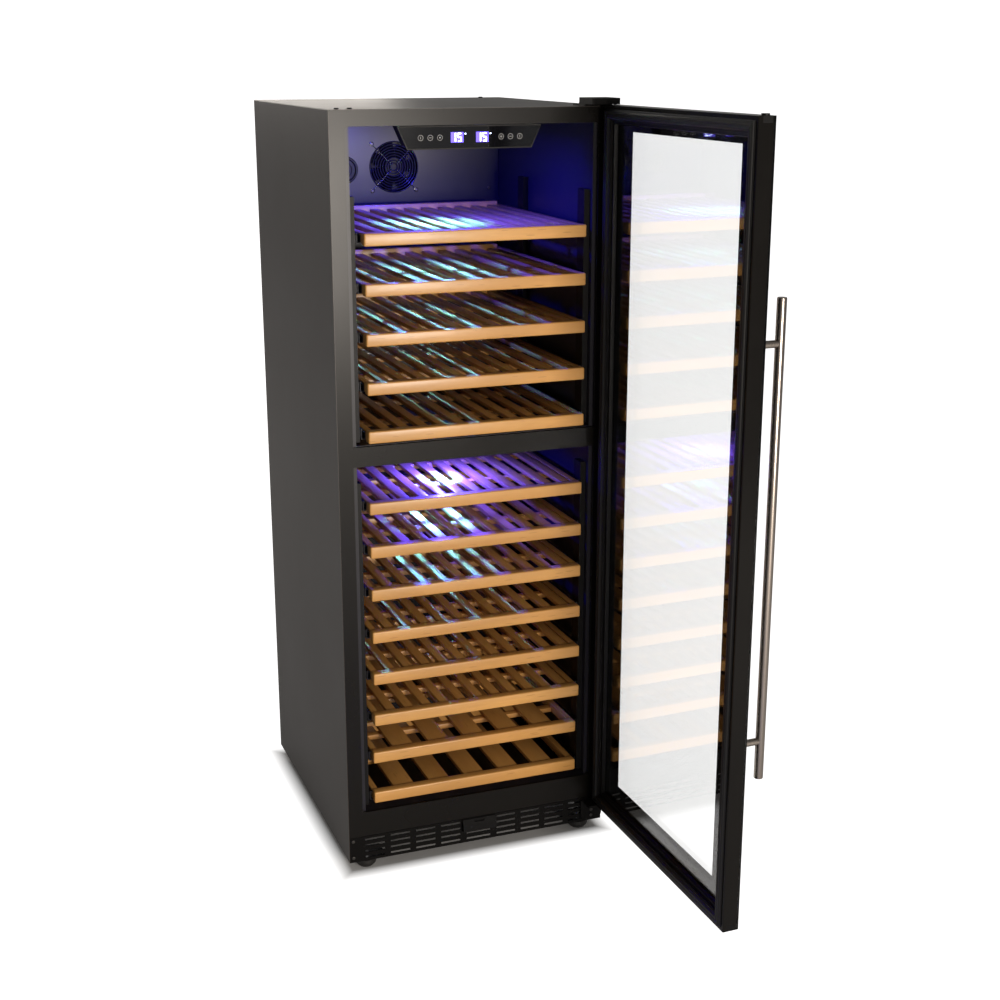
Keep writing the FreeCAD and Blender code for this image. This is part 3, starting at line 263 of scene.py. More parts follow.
def moulding(name, low, high, level, steps, rounding=0.0):
    """A rectangular ring in the XZ plane, made from outside to inside: each step goes in and up (+Y).

    low and high are (x, z) corners of its outer edge and level is where its base lies.
    """
    clear_selection()
    centre = ((low[0] + high[0]) / 2, level, (low[1] + high[1]) / 2)
    bpy.ops.mesh.primitive_plane_add(size=1, location=centre, rotation=(-math.pi / 2, 0, 0))
    ring = bpy.context.object
    ring.name = name
    ring.scale = (high[0] - low[0], high[1] - low[1], 1)
    freeze(ring)
    bpy.ops.object.mode_set(mode="EDIT")
    bpy.ops.mesh.select_mode(type="FACE")
    bpy.ops.mesh.select_all(action="SELECT")
    for across, up in steps:
        bpy.ops.mesh.inset(thickness=max(across, 1e-6), depth=up, use_even_offset=True)
    bpy.ops.mesh.delete(type="FACE")
    bpy.ops.mesh.select_mode(type="EDGE")
    bpy.ops.mesh.select_non_manifold(extend=False)
    bpy.ops.mesh.bridge_edge_loops()
    bpy.ops.mesh.select_all(action="SELECT")
    bpy.ops.mesh.normals_make_consistent(inside=False)
    if rounding:
        bpy.ops.mesh.bevel(offset=rounding, segments=2, affect="EDGES", clamp_overlap=True)
    bpy.ops.object.mode_set(mode="OBJECT")
    return ring


def disc(name, centre, radius, depth, axis="Y", sides=32, rounding=0.0):
    """A short cylinder whose rims are rounded."""
    clear_selection()
    turn = {"X": (0, math.pi / 2, 0), "Y": (math.pi / 2, 0, 0), "Z": (0, 0, 0)}[axis]
    bpy.ops.mesh.primitive_cylinder_add(vertices=sides, radius=radius, depth=depth, location=centre,
                                        rotation=turn)
    piece = bpy.context.object
    piece.name = name
    freeze(piece)
    if rounding:
        select_faces(piece, lambda centre, normal: abs(normal["XYZ".index(axis)]) > 0.9)
        bpy.ops.mesh.bevel(offset=rounding, segments=3, affect="EDGES")
        bpy.ops.object.mode_set(mode="OBJECT")
    return piece


# ---------------------------------------------------------------- node helpers
def add_node(tree, kind, **inputs):
    made = tree.nodes.new(kind)
    for name, value in inputs.items():
        socket = made.inputs[name.replace("_", " ")]
        socket.default_value = value
    return made


def group(name, inputs, outputs):
    """An empty shader group with float, colour or vector sockets."""
    tree = bpy.data.node_groups.new(name, "ShaderNodeTree")
    kinds = {"value": "NodeSocketFloat", "colour": "NodeSocketColor", "vector": "NodeSocketVector"}
    for socket, (kind, default) in inputs.items():
        made = tree.interface.new_socket(socket, in_out="INPUT", socket_type=kinds[kind])
        made.default_value = default
    for socket, kind in outputs.items():
        tree.interface.new_socket(socket, in_out="OUTPUT", socket_type=kinds[kind])
    return tree, tree.nodes.new("NodeGroupInput"), tree.nodes.new("NodeGroupOutput")


def object_place(tree, stretch=None):
    """The point on the object, stretched by a vector socket."""
    place = tree.nodes.new("ShaderNodeTexCoord").outputs["Object"]
    if stretch is None:
        return place
    scaled = tree.nodes.new("ShaderNodeVectorMath")
    scaled.operation = "MULTIPLY"
    tree.links.new(place, scaled.inputs[0])
    tree.links.new(stretch, scaled.inputs[1])
    return scaled.outputs[0]


def map_range(tree, value, low, high):
    made = tree.nodes.new("ShaderNodeMapRange")
    tree.links.new(value, made.inputs["Value"])
    for socket, end in (("To Min", low), ("To Max", high)):
        if isinstance(end, bpy.types.NodeSocket):
            tree.links.new(end, made.inputs[socket])
        else:
            made.inputs[socket].default_value = end
    return made.outputs["Result"]


def calculate(tree, operation, *values, clamp=False):
    """A maths node fed with sockets or plain numbers."""
    made = tree.nodes.new("ShaderNodeMath")
    made.operation = operation
    made.use_clamp = clamp
    for socket, value in zip(made.inputs, values):
        if isinstance(value, bpy.types.NodeSocket):
            tree.links.new(value, socket)
        else:
            socket.default_value = value
    return made.outputs[0]


def mix_colours(tree, factor, first, second):
    made = tree.nodes.new("ShaderNodeMix")
    made.data_type = "RGBA"
    tree.links.new(factor, made.inputs[0])
    for socket, colour in ((made.inputs[6], first), (made.inputs[7], second)):
        if isinstance(colour, bpy.types.NodeSocket):
            tree.links.new(colour, socket)
        else:
            socket.default_value = (*colour, 1)
    return made.outputs[2]


def satin_group():
    """Coated or moulded surface: soft blotches in colour and gloss over a fine skin."""
    tree, given, result = group(
        "satin_skin",
        {"Colour": ("colour", (0.5, 0.5, 0.5, 1)), "Tint": ("colour", (0.6, 0.6, 0.6, 1)),
         "Blotch Scale": ("value", 6.0), "Skin Scale": ("value", 900.0), "Skin Depth": ("value", 0.1),
         "Gloss Low": ("value", 0.3), "Gloss High": ("value", 0.45)},
        {"Colour": "colour", "Roughness": "value", "Normal": "vector"})
    place = object_place(tree)
    blotch = add_node(tree, "ShaderNodeTexNoise", Detail=4.0, Roughness=0.55)
    skin = add_node(tree, "ShaderNodeTexNoise", Detail=2.0)
    tree.links.new(place, blotch.inputs["Vector"])
    tree.links.new(place, skin.inputs["Vector"])
    tree.links.new(given.outputs["Blotch Scale"], blotch.inputs["Scale"])
    tree.links.new(given.outputs["Skin Scale"], skin.inputs["Scale"])
    colour = mix_colours(tree, blotch.outputs["Fac"], given.outputs["Colour"], given.outputs["Tint"])
    tree.links.new(colour, result.inputs["Colour"])
    gloss = map_range(tree, blotch.outputs["Fac"], given.outputs["Gloss Low"], given.outputs["Gloss High"])
    tree.links.new(gloss, result.inputs["Roughness"])
    bump = add_node(tree, "ShaderNodeBump", Distance=0.0002)
    tree.links.new(skin.outputs["Fac"], bump.inputs["Height"])
    tree.links.new(given.outputs["Skin Depth"], bump.inputs["Strength"])
    tree.links.new(bump.outputs["Normal"], result.inputs["Normal"])
    return tree


def brushed_group():
    """Metal rubbed along one direction."""
    tree, given, result = group(
        "brushed_metal",
        {"Stretch": ("vector", (1, 1, 1)), "Colour": ("colour", (0.6, 0.6, 0.6, 1)),
         "Gloss Low": ("value", 0.2), "Gloss High": ("value", 0.38), "Depth": ("value", 0.15)},
        {"Colour": "colour", "Roughness": "value", "Normal": "vector"})
    place = object_place(tree, given.outputs["Stretch"])
    lines = add_node(tree, "ShaderNodeTexNoise", Scale=1.0, Detail=6.0, Roughness=0.7)
    tree.links.new(place, lines.inputs["Vector"])
    dark = tree.nodes.new("ShaderNodeHueSaturation")
    dark.inputs["Value"].default_value = 0.72
    tree.links.new(given.outputs["Colour"], dark.inputs["Color"])
    colour = mix_colours(tree, lines.outputs["Fac"], dark.outputs["Color"], given.outputs["Colour"])
    tree.links.new(colour, result.inputs["Colour"])
    gloss = map_range(tree, lines.outputs["Fac"], given.outputs["Gloss Low"], given.outputs["Gloss High"])
    tree.links.new(gloss, result.inputs["Roughness"])
    bump = add_node(tree, "ShaderNodeBump", Distance=0.00005)
    tree.links.new(lines.outputs["Fac"], bump.inputs["Height"])
    tree.links.new(given.outputs["Depth"], bump.inputs["Strength"])
    tree.links.new(bump.outputs["Normal"], result.inputs["Normal"])
    return tree


def wood_group():
    """Lacquered beech: long soft bands, short dark flecks and fine pores along the grain."""
    tree, given, result = group(
        "beech_grain",
        {"Stretch": ("vector", (1, 1, 1)), "Light": ("colour", (0.8, 0.55, 0.3, 1)),
         "Dark": ("colour", (0.5, 0.3, 0.15, 1)), "Fleck": ("colour", (0.35, 0.18, 0.08, 1))},
        {"Colour": "colour", "Roughness": "value", "Normal": "vector"})
    place = object_place(tree, given.outputs["Stretch"])
    bands = add_node(tree, "ShaderNodeTexNoise", Scale=22.0, Detail=3.0, Roughness=0.5, Distortion=0.6)
    fibres = add_node(tree, "ShaderNodeTexNoise", Scale=240.0, Detail=4.0, Roughness=0.65)
    flecks = add_node(tree, "ShaderNodeTexVoronoi", Scale=170.0)
    planks = add_node(tree, "ShaderNodeTexNoise", Scale=5.0, Detail=1.0)
    for texture in (bands, fibres, flecks):
        tree.links.new(place, texture.inputs["Vector"])
    tree.links.new(object_place(tree), planks.inputs["Vector"])
    base = mix_colours(tree, map_range(tree, bands.outputs["Fac"], -0.25, 1.15),
                       given.outputs["Light"], given.outputs["Dark"])
    warm = tree.nodes.new("ShaderNodeHueSaturation")
    tree.links.new(base, warm.inputs["Color"])
    tree.links.new(map_range(tree, planks.outputs["Fac"], 0.72, 1.25), warm.inputs["Value"])
    streak = mix_colours(tree, map_range(tree, fibres.outputs["Fac"], -0.25, 0.5),
                         warm.outputs["Color"], given.outputs["Dark"])
    spot = calculate(tree, "LESS_THAN", flecks.outputs["Distance"], 0.16)
    soft = map_range(tree, spot, 0.0, 0.45)
    tree.links.new(mix_colours(tree, soft, streak, given.outputs["Fleck"]), result.inputs["Colour"])
    tree.links.new(map_range(tree, fibres.outputs["Fac"], 0.3, 0.52), result.inputs["Roughness"])
    bump = add_node(tree, "ShaderNodeBump", Strength=0.18, Distance=0.0002)
    tree.links.new(fibres.outputs["Fac"], bump.inputs["Height"])
    tree.links.new(bump.outputs["Normal"], result.inputs["Normal"])
    return tree


def dust_group():
    """A light film that settles on faces turned up."""
    tree, given, result = group(
        "settled_dust", {"Colour": ("colour", (0.1, 0.1, 0.1, 1)), "Amount": ("value", 0.1)},
        {"Colour": "colour"})
    facing = tree.nodes.new("ShaderNodeSeparateXYZ")
    tree.links.new(tree.nodes.new("ShaderNodeNewGeometry").outputs["Normal"], facing.inputs[0])
    noise = add_node(tree, "ShaderNodeTexNoise", Scale=14.0, Detail=5.0)
    tree.links.new(object_place(tree), noise.inputs["Vector"])
    amount = map_range(tree, noise.outputs["Fac"], 0.0, given.outputs["Amount"])
    film = calculate(tree, "MULTIPLY", facing.outputs["Z"], amount, clamp=True)
    dusty = mix_colours(tree, film, given.outputs["Colour"], (0.55, 0.5, 0.45))
    tree.links.new(dusty, result.inputs["Colour"])
    return tree


GROUPS = {}
FINISHES = {}
COLOUR_SOCKETS = ("Colour", "Tint", "Light", "Dark", "Fleck")


def place_group(tree, name, **inputs):
    made = tree.nodes.new("ShaderNodeGroup")
    made.node_tree = GROUPS[name]
    for socket, value in inputs.items():
        key = socket.replace("_", " ")
        made.inputs[key].default_value = (*value, 1) if key in COLOUR_SOCKETS else value
    return made


def new_finish(name, metallic=0.0, specular=0.5, coat=0.0, coat_roughness=0.1):
    finish = bpy.data.materials.new(name)
    finish.use_nodes = True
    tree = finish.node_tree
    shader = tree.nodes["Principled BSDF"]
    shader.inputs["Metallic"].default_value = metallic
    shader.inputs["Specular IOR Level"].default_value = specular
    shader.inputs["Coat Weight"].default_value = coat
    shader.inputs["Coat Roughness"].default_value = coat_roughness
    FINISHES[name] = finish
    return finish, tree, shader


def wire(tree, made, shader, dust=0.0):
    colour = made.outputs["Colour"]
    if dust:
        film = place_group(tree, "dust", Amount=dust)
        tree.links.new(colour, film.inputs["Colour"])
        colour = film.outputs["Colour"]
    tree.links.new(colour, shader.inputs["Base Color"])
    tree.links.new(made.outputs["Roughness"], shader.inputs["Roughness"])
    tree.links.new(made.outputs["Normal"], shader.inputs["Normal"])


def satin(name, colour, tint=None, gloss=(0.32, 0.45), skin=(900.0, 0.1), blotch=6.0, dust=0.0, **more):
    finish, tree, shader = new_finish(name, **more)
    tint = tint or tuple(0.75 * part for part in colour)
    made = place_group(tree, "satin", Colour=colour, Tint=tint, Blotch_Scale=blotch, Skin_Scale=skin[0],
                       Skin_Depth=skin[1], Gloss_Low=gloss[0], Gloss_High=gloss[1])
    wire(tree, made, shader, dust)
    return finish


def brushed(name, colour, stretch, gloss=(0.2, 0.38), depth=0.15):
    finish, tree, shader = new_finish(name, metallic=1.0)
    made = place_group(tree, "brushed", Colour=colour, Stretch=stretch, Gloss_Low=gloss[0],
                       Gloss_High=gloss[1], Depth=depth)
    wire(tree, made, shader)
    return finish


def wood(name, colour, stretch):
    finish, tree, shader = new_finish(name, coat=0.25, coat_roughness=0.22)
    dark = tuple(part * shade for part, shade in zip(colour, (0.72, 0.62, 0.5)))
    fleck = tuple(part * shade for part, shade in zip(colour, (0.5, 0.38, 0.26)))
    made = place_group(tree, "wood", Stretch=stretch, Light=colour, Dark=dark, Fleck=fleck)
    wire(tree, made, shader)
    return finish


def pane(name, colour):
    """Clear sheet glass with the faintest waviness."""
    finish, tree, shader = new_finish(name)
    shader.inputs["Base Color"].default_value = (*colour, 1)
    shader.inputs["Roughness"].default_value = 0.0
    shader.inputs["IOR"].default_value = 1.48
    shader.inputs["Transmission Weight"].default_value = 1.0
    wave = add_node(tree, "ShaderNodeTexNoise", Scale=1.6, Detail=1.0)
    tree.links.new(object_place(tree), wave.inputs["Vector"])
    bump = add_node(tree, "ShaderNodeBump", Strength=0.02, Distance=0.001)
    tree.links.new(wave.outputs["Fac"], bump.inputs["Height"])
    tree.links.new(bump.outputs["Normal"], shader.inputs["Normal"])
    return finish


def glowing(name, colour, strength):
    """A lit lens, brightest in patches where its chips sit."""
    finish, tree, shader = new_finish(name)
    shader.inputs["Base Color"].default_value = (*colour, 1)
    shader.inputs["Roughness"].default_value = 0.35
    shader.inputs["Emission Strength"].default_value = strength
    chips = add_node(tree, "ShaderNodeTexNoise", Scale=160.0, Detail=1.0)
    tree.links.new(object_place(tree), chips.inputs["Vector"])
    dim = tuple(0.7 * part for part in colour)
    tree.links.new(mix_colours(tree, chips.outputs["Fac"], colour, dim), shader.inputs["Emission Color"])
    return finish


def make_finishes(scene):
    GROUPS.update(satin=satin_group(), brushed=brushed_group(), wood=wood_group(), dust=dust_group())
    cabinet = scene.cooler_cabinet
    colour = tuple(cabinet.paint)
    liner = tuple(cabinet.liner)
    satin("cabinet_paint", colour, tuple(1.5 * part for part in colour), gloss=(0.34, 0.46),
          skin=(700.0, 0.12), blotch=1.6, dust=0.06)
    satin("zinc_sheet", (0.42, 0.43, 0.44), (0.3, 0.31, 0.33), gloss=(0.3, 0.5), blotch=45.0, metallic=0.85)
    satin("black_paint", (0.0035, 0.003, 0.0028), gloss=(0.34, 0.46), skin=(800.0, 0.12), dust=0.01,
          specular=0.12)
    satin("jamb_plastic", (0.0055, 0.0045, 0.0035), (0.007, 0.006, 0.005), gloss=(0.24, 0.32),
          skin=(600.0, 0.05), blotch=3.0, specular=0.2)
    satin("foam", (0.75, 0.66, 0.42), gloss=(0.8, 0.95), skin=(300.0, 0.8), blotch=40.0)
    satin("liner_plastic", liner, tuple(1.3 * part for part in liner), gloss=(0.3, 0.42), skin=(500.0, 0.15),
          blotch=4.0, specular=0.35)
    satin("black_plastic", (0.004, 0.0036, 0.0036), gloss=(0.36, 0.5), skin=(1100.0, 0.25), blotch=18.0,
          specular=0.2)
    satin("inlet_plastic", (0.02, 0.02, 0.02), gloss=(0.4, 0.55), skin=(1200.0, 0.3), blotch=30.0)
    satin("panel_glass", (0.006, 0.006, 0.008), gloss=(0.05, 0.09), skin=(30.0, 0.01), blotch=10.0, coat=1.0,
          coat_roughness=0.03)
    satin("border_print", (0.002, 0.002, 0.002), gloss=(0.12, 0.2), skin=(900.0, 0.02), blotch=12.0,
          specular=0.1)
    satin("door_rim", (0.0045, 0.0036, 0.003), (0.0065, 0.0055, 0.0045), gloss=(0.18, 0.26),
          skin=(900.0, 0.04), blotch=8.0, specular=0.22)
    satin("spacer_aluminium", (0.02, 0.02, 0.021), gloss=(0.45, 0.6), blotch=20.0, metallic=0.4)
    satin("gasket_rubber", (0.004, 0.0038, 0.0038), (0.006, 0.0055, 0.0055), gloss=(0.38, 0.5),
          skin=(1500.0, 0.3), blotch=25.0, specular=0.3)
    satin("guard_wire", (0.022, 0.022, 0.028), gloss=(0.14, 0.24), skin=(900.0, 0.02), blotch=30.0,
          specular=0.8)
    satin("foot_rubber", (0.014, 0.013, 0.012), gloss=(0.4, 0.6), skin=(1300.0, 0.4), blotch=60.0, dust=0.1)
    satin("compressor_iron", (0.012, 0.012, 0.013), gloss=(0.3, 0.42), skin=(250.0, 0.3), blotch=20.0)
    brushed("fin_aluminium", (0.72, 0.73, 0.75), (300.0, 300.0, 20.0), gloss=(0.25, 0.42))
    # The runners' near-black colour is painted shade: they sit in shadow beside the shelf trims.
    brushed("slide_steel", (0.055, 0.055, 0.06), (400.0, 12.0, 400.0), gloss=(0.32, 0.48))
    brushed("pin_steel", (0.72, 0.72, 0.73), (500.0, 500.0, 500.0), gloss=(0.12, 0.22), depth=0.05)
    brushed("screw_steel", (0.11, 0.105, 0.10), (700.0, 700.0, 700.0), gloss=(0.34, 0.48))
    brushed("handle_steel", (0.46, 0.40, 0.35), (900.0, 900.0, 14.0), gloss=(0.2, 0.36), depth=0.2)
    beech = tuple(scene.cooler_shelves.wood)
    # The slats' beech is the trim's colour darkened to 0.68: painted shade, as the slats lie deeper in the cabinet
    # than the trims.
    wood("shelf_wood", tuple(0.68 * part for part in beech), (1.0, 0.09, 1.0))
    wood("trim_wood", beech, (0.09, 1.0, 1.0))
    pane("door_glass", (0.99, 0.995, 0.995))
    glowing("led", (0.55, 0.62, 1.0), 9.0)
    glowing("lit_digits", tuple(scene.cooler_panel.glow), 9.0)
    glowing("lit_window", (0.12, 0.07, 1.0), 1.6)
    satin("icon_print", (0.55, 0.55, 0.54), gloss=(0.3, 0.4), blotch=60.0)


def dress_frame():
    """Every carried-over part gets the finish of its material slot."""
    for part in frame["record"]["subparts"]:
        paint(NODES[part["node"]], FINISHES[part["material_slot"]])
    paint(NODES["zone_divider"], FINISHES["jamb_plastic"])


# ---------------------------------------------------------------- cabinet
def outer_sheet(settings):
    """Sides and top as one bent sheet with rounded long edges."""
    low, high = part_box("outer_shell")
    shell = slab("cabinet_shell", low, high)
    select_faces(shell, lambda centre, normal: abs(normal.y) > 0.9 or normal.z < -0.9)
    bpy.ops.mesh.delete(type="FACE")
    bpy.ops.object.mode_set(mode="OBJECT")
    select_edges(shell, lambda a, b: min(a.z, b.z) > high.z - MM and abs(a.y - b.y) > MM)
    bpy.ops.mesh.bevel(offset=settings.edge, segments=4, affect="EDGES")
    bpy.ops.object.mode_set(mode="OBJECT")
    wall = shell.modifiers.new("sheet", "SOLIDIFY")
    wall.thickness = 0.95 * MM
    wall.offset = -1
    only(shell)
    bpy.ops.object.modifier_apply(modifier="sheet")
    fit(shell, "cabinet", FINISHES["cabinet_paint"], ["outer_shell"])


def zone_seals():
    """Thin raised beads where the liners meet the jamb."""
    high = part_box("upper_liner")[1]
    divider_low, divider_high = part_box("zone_divider")
    jamb_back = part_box("front_frame")[1].y
    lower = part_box("lower_liner")[0]
    spans = {"upper_liner_bead": (divider_high.z, high.z - 4 * MM),
             "lower_liner_bead": (lower.z + 2 * MM, divider_low.z)}
    for name, (bottom, top) in spans.items():
        inner = high.x - 2 * MM
        bead = moulding(name, (-inner + 0.1 * MM, bottom + 0.1 * MM), (inner - 0.1 * MM, top - 0.1 * MM),
                        jamb_back + 1 * MM, [(1e-6, 3 * MM), (1.6 * MM, 0), (1e-6, -3 * MM)], 0.5 * MM)
        fit(bead, "cabinet", FINISHES["liner_plastic"])


# ---------------------------------------------------------------- shelves
def shelf_names():
    return sorted(name for name in NODES if name.startswith("shelf_"))


def shelf_layout(name):
    """'wide' for the two lowest shelves, otherwise the zone."""
    return "wide" if name in ("shelf_lower_1", "shelf_lower_2") else name.split("_")[1]


def shelf_wood(name, settings):
    """One shelf in place: trim, slats on battens, side rails and a raised back rail."""
    low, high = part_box(name)
    runner = 4 * MM
    left = low.x + runner
    right = high.x - runner
    front = low.y
    back = high.y
    top = low.z + settings.trim_height
    slat_top = top - 1.5 * MM
    slat_low = slat_top - settings.thickness
    rail_low = slat_low - 10 * MM
    inner_left = left + settings.rail
    inner_right = right - settings.rail
    behind = front + settings.trim_depth
    rail_front = back - settings.batten
    soft = settings.soft_edge

    trim = slab("trim", (left, front, low.z), (right, behind, top), 3 * MM, 4)
    paint(trim, FINISHES["trim_wood"])
    lengthways = []
    for start, end in ((left, inner_left), (inner_right, right)):
        lengthways.append(slab("rail", (start, behind - MM, rail_low), (end, back, slat_top), soft))
    if shelf_layout(name) == "wide":
        count = 5
        width = settings.wide_slat
        gap = (inner_right - inner_left - count * width) / (count + 1)
        starts = [inner_left + gap + i * (width + gap) for i in range(count)]
        battens = (190,) if name == "shelf_lower_1" else (120, 300)
    else:
        count = 11
        width = settings.slat
        starts = [inner_left + settings.slat_pitch / 2 + i * settings.slat_pitch for i in range(count)]
        battens = (140, 317)
    for start in starts:
        end = (start + width, rail_front + MM, slat_top)
        lengthways.append(slab("slat", (start, behind - MM, slat_low), end, soft))
    for piece in lengthways:
        paint(piece, FINISHES["shelf_wood"])
    crossways = [slab("back_rail", (inner_left - MM, rail_front, rail_low),
                      (inner_right + MM, back, high.z), soft)]
    for middle in battens:
        place = front + middle * MM
        half = settings.batten / 2
        crossways.append(slab("batten", (inner_left - MM, place - half, rail_low),
                              (inner_right + MM, place + half, slat_low + 0.5 * MM), soft))
    for piece in crossways:
        paint(piece, FINISHES["trim_wood"])
    return join("wood", [trim] + lengthways + crossways)


def shelf_runners(name, settings):
    """A rolled steel runner on each side rail: a web with a lip above and below."""
    low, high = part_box(name)
    pieces = []
    base = low.z + 5 * MM
    height = 16 * MM
    sheet = 1.2 * MM
    crease = 0.3 * MM
    front = low.y + settings.trim_depth + 3 * MM
    back = high.y - 20 * MM
    for side in (-1, 1):
        outside = side * (high.x - 0.05 * MM)
        inside = side * (high.x - 4 * MM)
        x = sorted((outside, inside))
        web = sorted((inside, inside + side * sheet))
        pieces.append(slab("web", (web[0], front, base), (web[1], back, base + height), crease))
        for level in (base, base + height - sheet):
            pieces.append(slab("lip", (x[0], front, level), (x[1], back, level + sheet), crease))
    return join("runners", pieces)


def make_shelves(settings):
    """Models one shelf of each layout and size, and copies it to its neighbours' places."""
    masters = {}
    for name in shelf_names():
        low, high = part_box(name)
        key = (shelf_layout(name), round(high.y - low.y, 4))
        if key not in masters:
            masters[key] = (low, shelf_wood(name, settings), shelf_runners(name, settings))
    for name in shelf_names():
        low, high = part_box(name)
        start, boards, runners = masters[(shelf_layout(name), round(high.y - low.y, 4))]
        wooden = copy(boards, name.replace("shelf", "boards"), low - start)
        fit(wooden, name, replaces=[name])
        metal = copy(runners, name.replace("shelf", "runners"), low - start)
        fit(metal, name, FINISHES["slide_steel"])
    for start, boards, runners in masters.values():
        bpy.data.objects.remove(boards)
        bpy.data.objects.remove(runners)


# ---------------------------------------------------------------- door, modelled shut about its hinge axis
HINGE = next(joint for joint in frame["joints"] if joint["name"] == "door_hinge")
HANG = (Matrix.Translation(Vector(HINGE["pos_m"]))
        @ Matrix.Rotation(math.radians(-HINGE["range_deg"][0]), 4, "Z"))


def shut_box(node):
    """A door part's box in the shut door's own axes, measured from the hinge axis."""
    back = HANG.inverted()
    points = [back @ vertex.co for vertex in NODES[node].data.vertices]
    return (Vector([min(p[i] for p in points) for i in range(3)]),
            Vector([max(p[i] for p in points) for i in range(3)]))


def hang(piece, finish, replaces=()):
    freeze(piece)
    piece.data.transform(HANG)
    return fit(piece, "door", finish, replaces)


def door_rim():
    """Metal rim with softened outer edges."""
    low, high = shut_box("door_frame")
    width = 12 * MM
    insert = 19 * MM
    rise = high.y - low.y
    rim = moulding("door_rim", (low.x, low.z), (high.x, high.z), low.y,
                   [(1e-6, rise - MM), (0.8 * MM, MM), (width - 1.6 * MM, 0), (0.8 * MM, -0.6 * MM),
                    (1e-6, -rise + 0.6 * MM)])
    cutters = []
    for x in ((low.x - MM, low.x + insert), (high.x - insert, high.x + MM)):
        for z in ((low.z - MM, low.z + width), (high.z - width, high.z + MM)):
            cutters.append(slab("notch", (x[0], -high.x, z[0]), (x[1], high.x, z[1])))
    tool = join("notches", cutters)
    notch = rim.modifiers.new("notches", "BOOLEAN")
    notch.operation = "DIFFERENCE"
    notch.object = tool
    only(rim)
    bpy.ops.object.modifier_apply(modifier="notches")
    bpy.data.objects.remove(tool)
    hang(rim, FINISHES["door_rim"], ["door_frame"])


def pane_borders(settings):
    """Baked black borders on the cavity side of both panes, with the same clear window."""
    outer_low, outer_high = shut_box("outer_glass")
    window = ((outer_low.x + settings.border_free, outer_low.z + settings.border_bottom),
              (outer_high.x - settings.border_hinge, outer_high.z - settings.border_top))
    inner_low, inner_high = shut_box("inner_glass")
    print_thick = settings.print_thickness
    levels = {
        "outer_pane_border": (outer_low, outer_high, outer_high.y + 0.02 * MM),
        "inner_pane_border": (inner_low, inner_high, inner_low.y - 0.02 * MM - print_thick),
    }
    for name, (low, high, level) in levels.items():
        inset = 0.5 * MM
        ring = moulding(name, (low.x + inset, low.z + inset), (high.x - inset, high.z - inset), level,
                        [(1e-6, print_thick), (10 * MM, 0), (1e-6, -print_thick)])
        centre = (low + high) / 2
        half = ((high.x - low.x) / 2 - inset - 5 * MM, (high.z - low.z) / 2 - inset - 5 * MM)
        for vertex in ring.data.vertices:
            x, z = vertex.co.x - centre.x, vertex.co.z - centre.z
            if abs(x) < half[0] and abs(z) < half[1]:
                vertex.co.x = window[0][0] if x < 0 else window[1][0]
                vertex.co.z = window[0][1] if z < 0 else window[1][1]
        hang(ring, FINISHES["border_print"])


def gasket_holder():
    """Plastic frame round the inner pane, stepped down to a thin lip on the glass."""
    low, high = shut_box("inner_frame")
    rise = high.y - low.y
    steps = [(1e-6, rise - 0.5 * MM), (0.5 * MM, 0.5 * MM), (17 * MM, 0), (0.6 * MM, -0.6 * MM),
             (1e-6, -5 * MM), (2.5 * MM, -0.5 * MM), (3.4 * MM, 0), (1.5 * MM, -rise + 7.5 * MM),
             (0.6 * MM, -1.0 * MM)]
    used = sum(across for across, _ in steps)
    steps.append((max(26 * MM - used, 1e-6), 0))
    holder = moulding("gasket_holder", (low.x, low.z), (high.x, high.z), low.y, steps)
    hang(holder, FINISHES["black_plastic"], ["inner_frame"])


def ribbed_gasket():
    """Magnetic gasket: a flat foot, a folded bellows and a rounded sealing face with a groove."""
    low, high = shut_box("door_gasket")
    rise = (high.y - low.y) / 6
    slope = [(1e-6, rise), (1.5 * MM, rise), (0.5 * MM, 0.3 * rise), (0.6 * MM, 1.5 * rise),
             (1.0 * MM, 1.5 * rise), (1.0 * MM, 0.7 * rise)]
    face = [(4.4 * MM, 0), (0.5 * MM, -0.8 * MM), (1.0 * MM, 0), (0.5 * MM, 0.8 * MM), (4.4 * MM, 0)]
    steps = slope + face + [(across, -up) for across, up in reversed(slope)]
    gasket = moulding("ribbed_gasket", (low.x, low.z), (high.x, high.z), low.y, steps)
    hang(gasket, FINISHES["gasket_rubber"], ["door_gasket"])


def bar_handle():
    """Round bar with softened ends."""
    low, high = shut_box("handle_bar")
    centre = (low + high) / 2
    radius = (high.x - low.x) / 2
    bar = disc("bar", centre, radius, high.z - low.z, "Z", 64, 1.2 * MM)
    hang(bar, FINISHES["handle_steel"], ["handle_bar"])


def make_door(settings):
    door_rim()
    pane_borders(settings)
    gasket_holder()
    ribbed_gasket()
    bar_handle()


# ---------------------------------------------------------------- touch panel
SEGMENTS = {
    "0": "abcdef", "1": "bc", "2": "abged", "3": "abgcd", "4": "fgbc",
    "5": "afgcd", "6": "afgedc", "7": "abc", "8": "abcdefg", "9": "abcdfg",
}


def digit(figure, left, bottom, height, front):
    """A seven-segment figure as thin raised bars."""
    width = 0.5 * height
    bar = 0.13 * height
    middle = bottom + height / 2
    top = bottom + height
    upright = {"b": (left + width - bar, middle, top), "c": (left + width - bar, bottom, middle),
               "e": (left, bottom, middle), "f": (left, middle, top)}
    level = {"a": top - bar, "g": middle - bar / 2, "d": bottom}
    pieces = []
    for segment in SEGMENTS[figure]:
        if segment in upright:
            x, low, high = upright[segment]
            start = (x, front, low + 0.3 * MM)
            end = (x + bar, front + 0.2 * MM, high - 0.3 * MM)
        else:
            z = level[segment]
            start = (left + 0.5 * bar, front, z)
            end = (left + width - 0.5 * bar, front + 0.2 * MM, z + bar)
        pieces.append(slab("segment", start, end, 0.08 * MM, 1))
    return pieces


